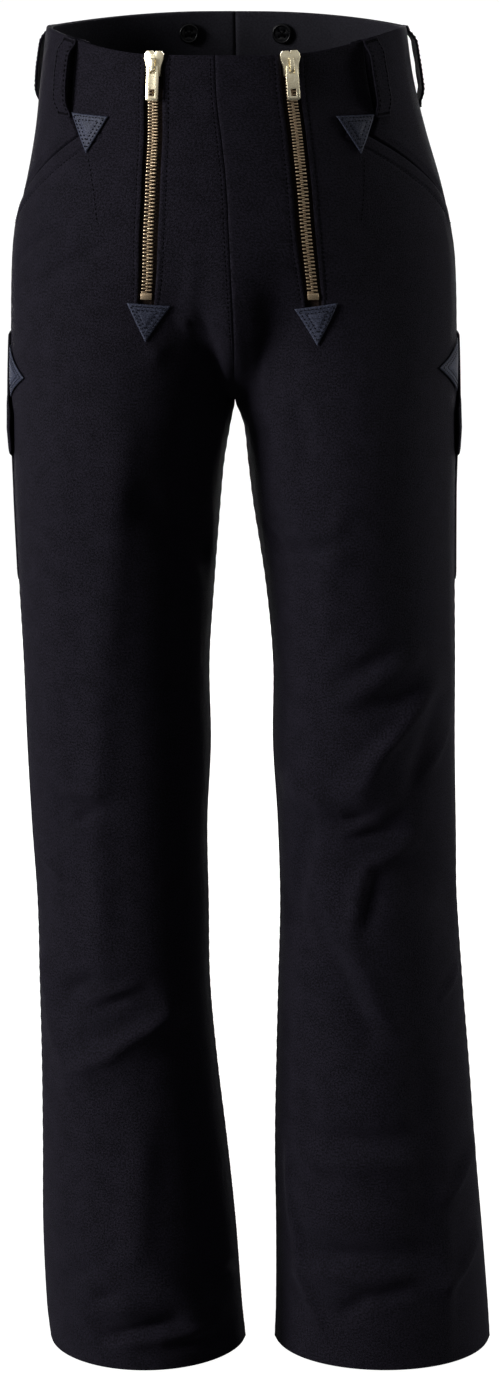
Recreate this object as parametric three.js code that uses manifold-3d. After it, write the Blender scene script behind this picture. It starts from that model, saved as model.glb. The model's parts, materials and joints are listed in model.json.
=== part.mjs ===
import * as THREE from "three";
import { mergeVertices } from "three/addons/utils/BufferGeometryUtils.js";
import Module from "manifold-3d";

// Black carpenter trousers with two front zips, belt loops, leather corner pieces and flared legs, filled
// out as if worn. Millimetres, +Z up. The origin is the centre of the waist opening, level with the top
// edge at the side seams. The front faces -Y. The wearer's right leg is at -X.

// Cut and cloth
const SIDE_LENGTH = 1080;
const CROTCH_Z = -290;
const RISE_CURVE = 118;
const WAIST_TURN = THREE.MathUtils.degToRad(-3);
const FRONT_DIP = -17;
const BACK_LIFT = 7;
const TOP_FADE = 100;
const TURN_FROM = -250;
const SHARE_FROM = -335;
const SHARE_TO = -150;
const RISE_Q = 0.75;
const FOLDS_FADE = [0.86, 0.97];
const DIP_Q = [0.12, 0.8];
const LIFT_Q = [0.1, 0.9];
const CLOTH = 1.6;
const SEAM_GAP = 0.3;
const LAY_GAP = 0.8;
const LEATHER = 1.5;

// Sections of the filled-out trousers. right and left are the outer edges of the wearer's right and left
// leg, innerRight and innerLeft the inner ones, or the centre line above the crotch. front and back are
// the depths from the side seams' plane.
const SECTIONS = table(
  ["z", "right", "innerRight", "innerLeft", "left", "front", "back"],
  [
    [0, -140, 0, 0, 141, 104, 104],
    [-40, -145, 1, 1, 147, 106, 107],
    [-80, -149.5, 4, 4, 157, 108, 112],
    [-120, -157, 6, 6, 169, 110, 120],
    [-150, -165, 6, 6, 176, 111, 127],
    [-180, -168.5, 6, 6, 180.5, 112, 132],
    [-240, -170, 6.5, 6.5, 182.5, 111, 136],
    [CROTCH_Z, -170, 7, 7, 182.5, 108, 132],
    [-312, -169.5, 3, 14.5, 182.5, 106, 127],
    [-342, -169, -2, 18, 182.5, 104, 121],
    [-375, -168.5, -5, 22, 182.5, 100, 115],
    [-440, -166, -10, 32, 183, 92, 104],
    [-505, -163, -14, 38, 184, 84, 95],
    [-572, -161, -13, 38, 184.5, 77, 87],
    [-638, -158, -16, 42, 186, 73, 82],
    [-706, -154, -15, 44, 188, 72, 79],
    [-773, -153, -14, 42.5, 193, 74, 78],
    [-842, -152, -8, 41, 199, 77, 79],
    [-911, -152, 0, 40, 204.5, 80, 80],
    [-981, -152.5, 7, 41, 211, 82, 81],
    [-1051, -150, 12, 41, 217, 84, 82],
    [-SIDE_LENGTH, -147, 15, 40, 219, 84, 82],
  ],
);

// Main folds, each along a line from (q1, z1) to (q2, z2). A height below 0 is a trough. side is -1 on
// the wearer's right and 1 on the left. q is 0 at the side seam, 1 at the front's inner seam and -1 at
// the back's.
const FOLDS = table(
  ["side", "q1", "z1", "q2", "z2", "width", "height"],
  [
    [-1, 0.6, -365, 0.86, -408, 16, -4],
    [-1, 0.3, -612, 0.46, -614, 13, -3],
    [-1, 0.12, -752, 0.26, -842, 12, 3],
    [-1, 0.29, -765, 0.56, -767, 14, -4],
    [-1, 0.34, -828, 0.67, -787, 15, 4],
    [-1, 0.49, -987, 0.76, -1042, 15, 3.5],
    [-1, 0.37, -1049, 0.6, -1040, 12, -4],
    [1, 0.75, -360, 0.58, -401, 14, 3],
    [1, 0.26, -515, 0.53, -602, 15, 4],
    [1, 0.82, -600, 0.61, -614, 12, 3],
    [1, 0.61, -618, 0.42, -622, 12, -4.5],
    [1, 0.5, -655, 0.18, -692, 24, -4],
    [1, 0.82, -709, 0.51, -794, 15, -4],
    [1, 0.1, -911, 0.26, -941, 12, 3],
    [1, 0.13, -985, 0.3, -1013, 12, 3],
    [1, 0.74, -879, 0.44, -892, 15, -3.5],
    [1, 0.76, -980, 0.43, -988, 14, -4],
    [-1, -0.84, -330, -0.5, -352, 18, -5],
    [-1, -0.3, -598, -0.74, -610, 14, -4],
    [-1, -0.7, -640, -0.36, -650, 15, -3],
    [-1, -0.66, -840, -0.3, -800, 15, 3.5],
    [-1, -0.4, -1010, -0.72, -1026, 14, -3.5],
    [1, -0.84, -328, -0.48, -356, 18, -5],
    [1, -0.28, -606, -0.72, -596, 14, -4],
    [1, -0.66, -636, -0.34, -652, 15, -3],
    [1, -0.7, -780, -0.36, -836, 15, 3.5],
    [1, -0.42, -990, -0.74, -1002, 14, -3.5],
  ],
);

// Zips
const ZIP = {
  tapeTop: -3,
  tapeEnd: -216,
  end: -209,
  slitHalf: 6.5,
  tapeHalf: 12.5,
  tapeOut: -2.8,
  tape: 0.9,
  chainHalf: 4,
  chainTop: -20,
  chainEnd: -197.5,
  chainIn: -2.2,
  chainOut: 1.1,
  stopHalf: 4.5,
  stopEnd: -203,
};

// q of each zip's middle, because each one leans a little
const ZIP_LINE = table(
  ["z", "right", "left"],
  [
    [0, 0.787, 0.741],
    [-60, 0.779, 0.75],
    [-112, 0.766, 0.768],
    [-157, 0.764, 0.775],
    [-182, 0.748, 0.761],
    [ZIP.end, 0.711, 0.729],
  ],
);
const SLIDER = {
  z: -8,
  half: 9.5,
  crown: 7.6,
  neck: 5.4,
  plateIn: 0.5,
  plateOut: 3,
  bailHalf: 1.5,
  bailOut: 6.6,
  bailWall: 1.2,
  bailTop: 4.2,
  bailEnd: -6.5,
  pivotZ: -2.2,
  pivotOut: 4.2,
};
const TAB = {
  top: 0.6,
  length: 26.2,
  half: 4.9,
  shoulder: 3.9,
  shoulderEnd: -7,
  chamfer: 1,
  thick: 1.2,
  slotHalf: 2.1,
  slotEnd: -5.6,
  holeHalf: 2.2,
  holeFrom: 3,
  holeTo: 8.5,
};

// Pocket mouths. Above the mouth the front panel ends under the belt loop, below it at the side seam.
const MOUTH = { top: -62, start: -77, startQ: 0.49, end: -143, panelQ: 0.43 };
const POCKET_FACING = { columns: 6, lap: 0.04, under: 2.9, bendFrom: 0.16, bendTo: 0.05, tuck: 4, tuckIn: 1 };

// Leather corner pieces, by their three corners on the skin
const CORNERS = table(
  ["name", "side", "q1", "z1", "q2", "z2", "q3", "z3"],
  [
    ["pocket_corner_right", -1, 0.438, -59.5, 0.612, -58.5, 0.52, -92],
    ["pocket_corner_left", 1, 0.438, -60.5, 0.6, -58, 0.54, -92],
    ["zip_corner_right", -1, 0.655, -205.5, 0.793, -207.5, 0.668, -236],
    ["zip_corner_left", 1, 0.657, -205.5, 0.79, -210, 0.677, -239],
    ["side_corner_right", -1, 0.035, -249, 0.035, -290, 0.19, -269.5],
    ["side_corner_left", 1, 0.045, -243, 0.045, -285, 0.222, -261],
  ],
);

// Rule pockets behind the side seams. frontQ is the front edge at each level, and lift how far that edge
// stands off. The edge runs forward of the seam only at the open stretch below the leather corner.
const RULE_POCKET = { backQ: -0.27, cloth: 1.4, columns: 6, gap: 1.3, flatFrom: 0.8 };
const RULE_POCKET_ROWS = table(
  ["z", "frontQ", "lift"],
  [
    [-240, 0.012, 0],
    [-248, 0.012, 0.3],
    [-264, 0.012, 0.8],
    [-277, 0.012, 1.2],
    [-290, 0.012, 1.5],
    [-299, 0.075, 2],
    [-315, 0.07, 2.6],
    [-332, 0.064, 1.5],
    [-340.5, -0.02, 0.5],
    [-366, -0.02, 0],
    [-391.5, -0.02, 0],
    [-417, -0.02, 0],
    [-440, -0.02, 0],
  ],
);

// Belt loops: place, and the side view of the band, as drop from the top and clearance from the cloth
const LOOPS = table(
  ["name", "side", "q"],
  [
    ["belt_loop_front_right", -1, 0.395],
    ["belt_loop_front_left", 1, 0.395],
    ["belt_loop_side_right", -1, -0.13],
    ["belt_loop_side_left", 1, -0.13],
    ["belt_loop_back", -1, -1],
  ],
);
const LOOP = { half: 7.5, cloth: 1.8 };
const LOOP_PROFILE = table(
  ["drop", "clear"],
  [
    [0.5, 0.5],
    [4, 1],
    [8.5, 4.6],
    [13, 6.5],
    [32, 7.2],
    [50, 6.4],
    [55.5, 4.4],
    [60, 1],
    [64, 0.5],
  ],
);

// Inside the back of the waist
const WAIST_FACING = { top: -0.5, depth: 42, cloth: 1.2, sideQ: -0.02, columns: 9, rows: 3 };
const BRACE_BUTTON = { q: -0.825, z: -16, r: 8.2, thick: 2.6, holeR: 1, holeOff: 2.4, seat: 0.5 };

// Grid of the panels: cells across a panel and levels down it
const FRONT_CELLS = 8;
const FLY_CELLS = 3;
const BACK_CELLS = 12;
const LEG_ROWS = 30;
const CORNER_CELLS = 5;
const UPPER_LEVELS = [0, -20, -41, MOUTH.top, MOUTH.start, -99, -121, MOUTH.end, -175, -192, ZIP.end];
const CROTCH_LEVELS = [-230, -248, -264, -277, -286, CROTCH_Z, -299, -315];

const LEG_TOP = CROTCH_LEVELS.at(-1);
const KNEE_Z = THREE.MathUtils.lerp(LEG_TOP, -SIDE_LENGTH, 0.5);
const LEVELS = [...UPPER_LEVELS, ...CROTCH_LEVELS];
for (let k = 1; k <= LEG_ROWS; k++) {
  LEVELS.push(THREE.MathUtils.lerp(LEG_TOP, -SIDE_LENGTH, k / LEG_ROWS));
}

// Each panel, which is cut in one, is three lengths of solid, each as hollow as the body or leg there
const LENGTHS = table(
  ["name", "top", "end"],
  [
    ["hip", 0, CROTCH_Z],
    ["thigh", CROTCH_Z, KNEE_Z],
    ["shin", KNEE_Z, -SIDE_LENGTH],
  ],
);

const CLOTH_LOOK = new THREE.MeshStandardMaterial({ color: 0x17151b, roughness: 0.78 });
const FACING_LOOK = new THREE.MeshStandardMaterial({ color: 0x232229, roughness: 0.85 });
const TAPE_LOOK = new THREE.MeshStandardMaterial({ color: 0x100e10, roughness: 0.9 });
const LEATHER_LOOK = new THREE.MeshStandardMaterial({ color: 0x25262f, roughness: 0.45 });
const ZIP_LOOK = new THREE.MeshStandardMaterial({ color: 0xc9b07a, roughness: 0.35, metalness: 1 });
const SLIDER_LOOK = new THREE.MeshStandardMaterial({ color: 0xe8dcae, roughness: 0.3, metalness: 1 });
const BUTTON_LOOK = new THREE.MeshStandardMaterial({ color: 0x0b0a0c, roughness: 0.35 });

const wasm = await Module();
wasm.setup();

// Turns rows of values into records with the named columns.
function table(columns, rows) {
  return rows.map((row) => Object.fromEntries(columns.map((name, k) => [name, row[k]])));
}

// A smooth curve through one column of a table whose rows go down in z.
function along(rows, column, z) {
  const last = rows.length - 1;
  if (z >= rows[0].z) return rows[0][column];
  if (z <= rows[last].z) return rows[last][column];
  let k = 0;
  while (z < rows[k + 1].z) k++;
  const slope = (m) => {
    const a = rows[Math.max(0, m - 1)];
    const b = rows[Math.min(last, m + 1)];
    return (b[column] - a[column]) / (b.z - a.z);
  };
  const span = rows[k + 1].z - rows[k].z;
  const t = (z - rows[k].z) / span;
  const rise = t * t * (3 - 2 * t);
  return (
    rows[k][column] * (1 - rise) +
    rows[k + 1][column] * rise +
    span * (slope(k) * t * (1 - t) * (1 - t) - slope(k + 1) * t * t * (1 - t))
  );
}

const { smoothstep, lerp, clamp } = THREE.MathUtils;

// The outer, inner and centre x and the depths of one side at a level.
function sectionAt(side, z) {
  const innerRight = along(SECTIONS, "innerRight", z);
  const innerLeft = along(SECTIONS, "innerLeft", z);
  const centre = (innerRight + innerLeft) / 2;
  const legInner = side < 0 ? innerRight : innerLeft;
  return {
    outer: along(SECTIONS, side < 0 ? "right" : "left", z),
    inner: z < CROTCH_Z ? legInner : centre,
    centre,
    front: along(SECTIONS, "front", z),
    back: along(SECTIONS, "back", z),
  };
}

// How far the section at (q, z) has turned from the body's half ellipse, 0, to the leg's whole one, 1.
// At the inner seams the change follows the elliptical rise curve, and elsewhere it is gradual.
function legShare(q, z) {
  const up = clamp((z - CROTCH_Z) / RISE_CURVE, 0, 1);
  const atSeam = 1 - Math.sqrt(1 - (1 - up) ** 2);
  const nearSeam = smoothstep(Math.abs(q), RISE_Q, 1) ** 2;
  return lerp(1 - smoothstep(z, SHARE_FROM, SHARE_TO), atSeam, nearSeam);
}

// A point of an ellipse quarter or half: turned is the angle from the outer edge, positive to the front.
function ellipsePoint(middle, halfWidth, section, turned) {
  const y = -Math.sin(turned);
  return [middle + halfWidth * Math.cos(turned), y * (y < 0 ? section.front : section.back)];
}

// The trousers' skin before folds.
function smoothSkin(side, q, z) {
  const s = sectionAt(side, z);
  const turn = WAIST_TURN * smoothstep(z, TURN_FROM, 0);
  const body = ellipsePoint(s.centre, s.outer - s.centre, s, (q * Math.PI) / 2 - side * turn);
  const leg = ellipsePoint((s.outer + s.inner) / 2, (s.outer - s.inner) / 2, s, q * Math.PI);
  const w = legShare(q, z);
  const lift = q > 0 ? FRONT_DIP * smoothstep(q, ...DIP_Q) : BACK_LIFT * smoothstep(-q, ...LIFT_Q);
  return new THREE.Vector3(
    lerp(body[0], leg[0], w),
    lerp(body[1], leg[1], w),
    z + lift * Math.max(0, 1 + z / TOP_FADE),
  );
}

// Outward normal of the skin.
function normalAt(side, q, z) {
  const dq = 0.002;
  const dz = 0.6;
  const across = smoothSkin(side, q + dq, z).sub(smoothSkin(side, q - dq, z));
  const up = smoothSkin(side, q, z + dz).sub(smoothSkin(side, q, z - dz));
  return across.cross(up).multiplyScalar(-side).normalize();
}

// Millimetres of cloth in one unit of q.
function spanAt(side, z) {
  const s = sectionAt(side, z);
  const depth = (s.front + s.back) / 2;
  const body = (Math.PI / 4) * (Math.abs(s.outer - s.centre) + depth);
  const leg = (Math.PI / 2) * (Math.abs(s.outer - s.inner) / 2 + depth);
  return lerp(body, leg, legShare(0, z));
}

// Height of all folds at a point. They die out before the inner seams, so that the panels still meet.
function foldHeight(side, q, z) {
  const span = spanAt(side, z);
  let height = 0;
  for (const f of FOLDS) {
    if (f.side !== side) continue;
    const line = [(f.q2 - f.q1) * span, f.z2 - f.z1];
    const from = [(q - f.q1) * span, z - f.z1];
    const t = clamp((from[0] * line[0] + from[1] * line[1]) / (line[0] ** 2 + line[1] ** 2), 0, 1);
    const away = Math.hypot(from[0] - t * line[0], from[1] - t * line[1]);
    height += f.height * Math.exp(-((away / f.width) ** 2));
  }
  return height * (1 - smoothstep(Math.abs(q), ...FOLDS_FADE));
}

// A point of the folded skin, moved out from it.
function skin(side, q, z, out = 0) {
  const inside = clamp(q, -1, 1);
  const normal = normalAt(side, inside, z);
  return smoothSkin(side, inside, z).addScaledVector(normal, foldHeight(side, inside, z) + out);
}

// A closed mesh from points and triangles, turned so that its faces point out.
function closedMesh(points, triangles) {
  const volume = triangles.reduce((sum, [a, b, c]) => {
    return sum + points[a].dot(new THREE.Vector3().crossVectors(points[b], points[c]));
  }, 0);
  const turned = volume < 0 ? triangles.map(([a, b, c]) => [a, c, b]) : triangles;
  const geometry = new THREE.BufferGeometry().setFromPoints(points);
  geometry.setIndex(turned.flat());
  geometry.computeVertexNormals();
  return geometry;
}

// A wall between an outer and an inner sheet of grid points, over the cells that are kept, with a rim.
function wall(columns, rows, outer, inner, kept = () => true) {
  const points = [];
  for (const sheet of [outer, inner]) {
    for (let j = 0; j <= rows; j++) {
      for (let i = 0; i <= columns; i++) points.push(sheet(i, j));
    }
  }
  const innerStart = (columns + 1) * (rows + 1);
  const index = (i, j) => j * (columns + 1) + i;
  const isKept = (i, j) => i >= 0 && j >= 0 && i < columns && j < rows && kept(i, j);
  const triangles = [];
  for (let j = 0; j < rows; j++) {
    for (let i = 0; i < columns; i++) {
      if (!isKept(i, j)) continue;
      const [a, b, c, d] = [index(i, j), index(i + 1, j), index(i + 1, j + 1), index(i, j + 1)];
      triangles.push([a, b, c], [a, c, d]);
      triangles.push([a, c, b].map((k) => k + innerStart), [a, d, c].map((k) => k + innerStart));
      const edges = [
        [a, b, i, j - 1],
        [b, c, i + 1, j],
        [c, d, i, j + 1],
        [d, a, i - 1, j],
      ];
      for (const [from, to, nextI, nextJ] of edges) {
        if (isKept(nextI, nextJ)) continue;
        triangles.push([to, from, from + innerStart], [to, from + innerStart, to + innerStart]);
      }
    }
  }
  return closedMesh(points, triangles);
}

const trousers = new THREE.Group();

function addMesh(name, geometry, material, parent = trousers) {
  const mesh = new THREE.Mesh(geometry, material);
  mesh.name = name;
  parent.add(mesh);
  return mesh;
}

const sideName = (side) => (side < 0 ? "right" : "left");

// q of a zip's middle at a level. Below the zip it stays where the zip ends.
function zipQ(side, z) {
  return along(ZIP_LINE, sideName(side), z);
}

// q of the front panel's outer edge at a level.
function frontEdgeQ(z) {
  if (z >= MOUTH.top) return MOUTH.panelQ;
  if (z >= MOUTH.start) {
    return lerp(MOUTH.startQ, MOUTH.panelQ, (z - MOUTH.start) / (MOUTH.top - MOUTH.start));
  }
  return MOUTH.startQ * clamp((z - MOUTH.end) / (MOUTH.start - MOUTH.end), 0, 1);
}

// Each panel is moved by half a seam gap away from its neighbours.
function seamShift(side, isFront) {
  return new THREE.Vector3((side * SEAM_GAP) / 2, ((isFront ? -1 : 1) * SEAM_GAP) / 2, 0);
}

// The levels of one length of a panel, which starts a seam gap below the length above it.
function levelsOf({ top, end }) {
  return [top < 0 ? top - SEAM_GAP : top, ...LEVELS.filter((z) => z < top && z >= end)];
}

// The front panel, with the slit for its zip and its corner cut away along the pocket mouth.
function frontPanel(side, levels) {
  const shift = seamShift(side, true);
  const columns = FRONT_CELLS + 1 + FLY_CELLS;
  const columnQ = (i, z) => {
    const half = ZIP.slitHalf / spanAt(side, z);
    const middle = zipQ(side, z);
    if (i <= FRONT_CELLS) return lerp(frontEdgeQ(z), middle - half, i / FRONT_CELLS);
    return lerp(middle + half, 1, (i - FRONT_CELLS - 1) / FLY_CELLS);
  };
  const point = (out) => (i, j) => skin(side, columnQ(i, levels[j]), levels[j], out).add(shift);
  const isSlit = (i, j) => i === FRONT_CELLS && levels[j] > ZIP.end;
  return wall(columns, levels.length - 1, point(0), point(-CLOTH), (i, j) => !isSlit(i, j));
}

// The back panel, plain from the waist to the hem.
function backPanel(side, levels) {
  const shift = seamShift(side, false);
  const point = (out) => (i, j) => skin(side, -i / BACK_CELLS, levels[j], out).add(shift);
  return wall(BACK_CELLS, levels.length - 1, point(0), point(-CLOTH));
}

// The side piece that shows above the pocket mouth. Its front edge passes under the front panel.
function pocketFacing(side) {
  const shift = seamShift(side, true);
  const { columns, lap, under, bendFrom, bendTo, tuck, tuckIn } = POCKET_FACING;
  const levels = [...UPPER_LEVELS.filter((z) => z >= MOUTH.end), MOUTH.end - tuck];
  const point = (out) => (i, j) => {
    const z = levels[j];
    const edge = frontEdgeQ(z);
    const q = lerp(0, edge + lap, i / columns);
    const tucked = j === levels.length - 1 ? tuckIn : 0;
    const depth = under * smoothstep(q, edge - bendFrom, edge - bendTo) + tucked;
    return skin(side, q, z, out - depth).add(shift);
  };
  return wall(columns, levels.length - 1, point(0), point(-CLOTH));
}

// A band that follows a zip, between two heights over the skin. It bends where the panels do.
function zipBand(side, top, end, half, outHigh, outLow) {
  const levels = [top, ...UPPER_LEVELS.filter((z) => z < top && z > end), end];
  const point = (out) => (i, j) => {
    const z = levels[j];
    return skin(side, zipQ(side, z) + ((i * 2 - 1) * half) / spanAt(side, z), z, out);
  };
  return wall(1, levels.length - 1, point(outHigh), point(outLow));
}

// A frame on the skin: x along the cloth to the wearer's left, y out of it, z up.
function frameOn(side, q, z, out) {
  const outward = normalAt(side, q, z);
  const up = smoothSkin(side, q, z + 1).sub(smoothSkin(side, q, z - 1));
  up.addScaledVector(outward, -up.dot(outward)).normalize();
  const across = new THREE.Vector3().crossVectors(up, outward);
  const matrix = new THREE.Matrix4().makeBasis(across, outward.clone().negate(), up);
  return matrix.setPosition(skin(side, q, z, out));
}

function toManifold(geometry) {
  const bare = geometry.clone();
  bare.deleteAttribute("normal");
  bare.deleteAttribute("uv");
  const merged = mergeVertices(bare, 1e-4);
  const vertProperties = merged.attributes.position.array;
  const triVerts = new Uint32Array(merged.index.array);
  return new wasm.Manifold(new wasm.Mesh({ numProp: 3, vertProperties, triVerts }));
}

// Joins closed geometries into one.
function unite(geometries) {
  const mesh = geometries
    .map(toManifold)
    .reduce((all, one) => all.add(one))
    .getMesh();
  const geometry = new THREE.BufferGeometry();
  geometry.setAttribute("position", new THREE.BufferAttribute(mesh.vertProperties, 3));
  geometry.setIndex(new THREE.BufferAttribute(mesh.triVerts, 1));
  geometry.computeVertexNormals();
  return geometry;
}

const shapeOf = (points) => new THREE.Shape(points.map(([x, y]) => new THREE.Vector2(x, y)));

// An outline drawn in x and z, extruded in y from one height over the cloth to another.
function plate(shape, low, high) {
  const geometry = new THREE.ExtrudeGeometry(shape, {
    depth: high - low,
    bevelEnabled: false,
    curveSegments: 4,
  });
  return geometry.rotateX(Math.PI / 2).translate(0, -low, 0);
}

// The slider: a crowned plate on a core that takes the chain's place, and the arch for the pull tab.
function sliderGeometry() {
  const { half, crown, neck, plateIn, plateOut, bailHalf, bailOut, bailWall, bailTop, bailEnd } = SLIDER;
  const crownOutline = shapeOf([
    [-neck, -half],
    [neck, -half],
    [neck + 0.5, -2],
    [crown, 3.5],
    [crown, 7],
    [crown - 2, half],
    [1.2, half],
    [0, half - 2.2],
    [-1.2, half],
    [2 - crown, half],
    [-crown, 7],
    [-crown, 3.5],
    [-neck - 0.5, -2],
  ]);
  const coreOutline = shapeOf([
    [-neck, -half],
    [neck, -half],
    [neck, half - 1],
    [-neck, half - 1],
  ]);
  const bailOutline = shapeOf([
    [bailEnd, 1],
    [bailEnd, bailOut - bailWall],
    [bailEnd + bailWall, bailOut],
    [bailTop - bailWall, bailOut],
    [bailTop, bailOut - bailWall],
    [bailTop, 1],
    [bailTop - bailWall, 1],
    [bailTop - bailWall, bailOut - bailWall],
    [bailEnd + bailWall, bailOut - bailWall],
    [bailEnd + bailWall, 1],
  ]);
  const bail = new THREE.ExtrudeGeometry(bailOutline, { depth: 2 * bailHalf, bevelEnabled: false });
  // The arch is drawn as (z, height) and stands in the plane across x.
  const turn = new THREE.Matrix4().set(0, 0, 1, -bailHalf, 0, -1, 0, 0, 1, 0, 0, 0, 0, 0, 0, 1);
  bail.applyMatrix4(turn);
  return unite([
    plate(crownOutline, plateIn, plateOut),
    plate(coreOutline, ZIP.chainIn, plateIn + 0.5),
    bail,
  ]);
}

// The pull tab, with its bar on the local x axis, a slot for the arch and a small square hole.
function tabGeometry() {
  const { top, length, half, shoulder, shoulderEnd, chamfer, thick } = TAB;
  const end = top - length;
  const outline = shapeOf([
    [-shoulder, top],
    [-half, shoulderEnd],
    [-half, end + chamfer],
    [chamfer - half, end],
    [half - chamfer, end],
    [half, end + chamfer],
    [half, shoulderEnd],
    [shoulder, top],
  ]);
  const hole = (x, low, high) => {
    return new THREE.Path([
      new THREE.Vector2(-x, low),
      new THREE.Vector2(-x, high),
      new THREE.Vector2(x, high),
      new THREE.Vector2(x, low),
    ]);
  };
  outline.holes.push(hole(TAB.slotHalf, TAB.slotEnd, -top));
  outline.holes.push(hole(TAB.holeHalf, end + TAB.holeFrom, end + TAB.holeTo));
  return plate(outline, -thick / 2, thick / 2);
}

function addZip(side) {
  const name = sideName(side);
  const { chainHalf, chainOut, chainIn, chainTop, chainEnd } = ZIP;
  const tape = zipBand(side, ZIP.tapeTop, ZIP.tapeEnd, ZIP.tapeHalf, ZIP.tapeOut, ZIP.tapeOut - ZIP.tape);
  const chain = zipBand(side, chainTop, chainEnd, chainHalf, chainOut, chainIn);
  const stop = zipBand(side, chainEnd - SEAM_GAP, ZIP.stopEnd, ZIP.stopHalf, chainOut, chainIn);
  addMesh(`zip_tape_${name}`, tape, TAPE_LOOK);
  addMesh(`zip_chain_${name}`, chain, ZIP_LOOK);
  addMesh(`zip_stop_${name}`, stop, ZIP_LOOK);
  const frame = new THREE.Group();
  frame.applyMatrix4(frameOn(side, zipQ(side, SLIDER.z), SLIDER.z, 0));
  trousers.add(frame);
  addMesh(`zip_slider_${name}`, sliderGeometry(), SLIDER_LOOK, frame);
  const tab = addMesh(`pull_tab_${name}`, tabGeometry(), SLIDER_LOOK, frame);
  tab.position.set(0, -SLIDER.pivotOut, SLIDER.pivotZ);
}

// A leather corner piece: a triangle between three points of the skin, laid on the cloth.
function leatherCorner(c) {
  const cells = CORNER_CELLS;
  const points = [];
  const index = {};
  for (const [sheet, out] of [LAY_GAP + LEATHER, LAY_GAP].entries()) {
    for (let i = 0; i <= cells; i++) {
      for (let j = 0; j <= cells - i; j++) {
        const [a, b] = [i / cells, j / cells];
        const q = c.q1 * (1 - a - b) + c.q2 * a + c.q3 * b;
        const z = c.z1 * (1 - a - b) + c.z2 * a + c.z3 * b;
        index[`${sheet} ${i} ${j}`] = points.push(skin(c.side, q, z, out)) - 1;
      }
    }
  }
  const at = (sheet, i, j) => index[`${sheet} ${i} ${j}`];
  const triangles = [];
  for (let i = 0; i < cells; i++) {
    for (let j = 0; j < cells - i; j++) {
      triangles.push([at(0, i, j), at(0, i + 1, j), at(0, i, j + 1)]);
      triangles.push([at(1, i, j), at(1, i, j + 1), at(1, i + 1, j)]);
      if (i + j + 2 > cells) continue;
      triangles.push([at(0, i + 1, j), at(0, i + 1, j + 1), at(0, i, j + 1)]);
      triangles.push([at(1, i + 1, j), at(1, i, j + 1), at(1, i + 1, j + 1)]);
    }
  }
  const rim = [];
  for (let k = 0; k < cells; k++) rim.push([k, 0]);
  for (let k = 0; k < cells; k++) rim.push([cells - k, k]);
  for (let k = 0; k < cells; k++) rim.push([0, cells - k]);
  rim.forEach(([i, j], k) => {
    const [nextI, nextJ] = rim[(k + 1) % rim.length];
    const [a, b, c2, d] = [at(0, i, j), at(0, nextI, nextJ), at(1, nextI, nextJ), at(1, i, j)];
    triangles.push([b, a, d], [b, d, c2]);
  });
  return closedMesh(points, triangles);
}

// The rule pocket, a layer on the back panel that reaches forward over the side seam where it is open.
function rulePocket(side) {
  const { backQ, cloth, columns, gap, flatFrom } = RULE_POCKET;
  const rows = RULE_POCKET_ROWS;
  const point = (out) => (i, j) => {
    const { z, frontQ, lift } = rows[j];
    const t = i / columns;
    const raised = lift * (1 - smoothstep(t, 0, flatFrom));
    return skin(side, lerp(frontQ, backQ, t), z, gap + raised + out);
  };
  return wall(columns, rows.length - 1, point(cloth), point(0));
}

// A belt loop: a band that stands off the cloth between its sewn ends.
function beltLoop(side, q) {
  const point = (out) => (i, j) => {
    const { drop, clear } = LOOP_PROFILE[j];
    const z = -drop;
    const across = smoothSkin(side, q + 0.002, z).sub(smoothSkin(side, q - 0.002, z)).normalize();
    return skin(side, q, z, clear + out).addScaledVector(across, (i * 2 - 1) * LOOP.half);
  };
  return wall(1, LOOP_PROFILE.length - 1, point(LOOP.cloth), point(0));
}

// Half of the facing inside the back of the waist.
function waistFacing(side) {
  const { top, depth, cloth, sideQ, columns, rows } = WAIST_FACING;
  const out = -CLOTH - LAY_GAP;
  const shift = seamShift(side, false);
  const point = (inward) => (i, j) => {
    return skin(side, lerp(sideQ, -1, i / columns), top - (depth * j) / rows, out - inward).add(shift);
  };
  return wall(columns, rows, point(0), point(cloth));
}

// A four-hole button, its face towards the wearer's back.
function braceButton() {
  const disc = new THREE.Shape();
  disc.absarc(0, 0, BRACE_BUTTON.r, 0, 2 * Math.PI);
  for (const [x, y] of [[1, 1], [-1, 1], [-1, -1], [1, -1]]) {
    const hole = new THREE.Path();
    hole.absarc(x * BRACE_BUTTON.holeOff, y * BRACE_BUTTON.holeOff, BRACE_BUTTON.holeR, 0, 2 * Math.PI, true);
    disc.holes.push(hole);
  }
  const geometry = new THREE.ExtrudeGeometry(disc, {
    depth: BRACE_BUTTON.thick,
    bevelEnabled: false,
    curveSegments: 12,
  });
  return geometry.rotateX(-Math.PI / 2);
}

for (const side of [-1, 1]) {
  const name = sideName(side);
  for (const length of LENGTHS) {
    const levels = levelsOf(length);
    addMesh(`front_panel_${name}_${length.name}`, frontPanel(side, levels), CLOTH_LOOK);
    addMesh(`back_panel_${name}_${length.name}`, backPanel(side, levels), CLOTH_LOOK);
  }
  addMesh(`pocket_facing_${name}`, pocketFacing(side), CLOTH_LOOK);
  addMesh(`rule_pocket_${name}`, rulePocket(side), CLOTH_LOOK);
  addMesh(`waist_facing_${name}`, waistFacing(side), FACING_LOOK);
  addZip(side);
  const buttonIn = -CLOTH - LAY_GAP - WAIST_FACING.cloth - BRACE_BUTTON.seat - BRACE_BUTTON.thick;
  const button = new THREE.Group();
  button.applyMatrix4(frameOn(side, BRACE_BUTTON.q, BRACE_BUTTON.z, buttonIn));
  trousers.add(button);
  addMesh(`brace_button_${name}`, braceButton().translate(0, -BRACE_BUTTON.thick, 0), BUTTON_LOOK, button);
}
for (const corner of CORNERS) addMesh(corner.name, leatherCorner(corner), LEATHER_LOOK);
for (const loop of LOOPS) addMesh(loop.name, beltLoop(loop.side, loop.q), CLOTH_LOOK);

export default trousers;
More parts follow.
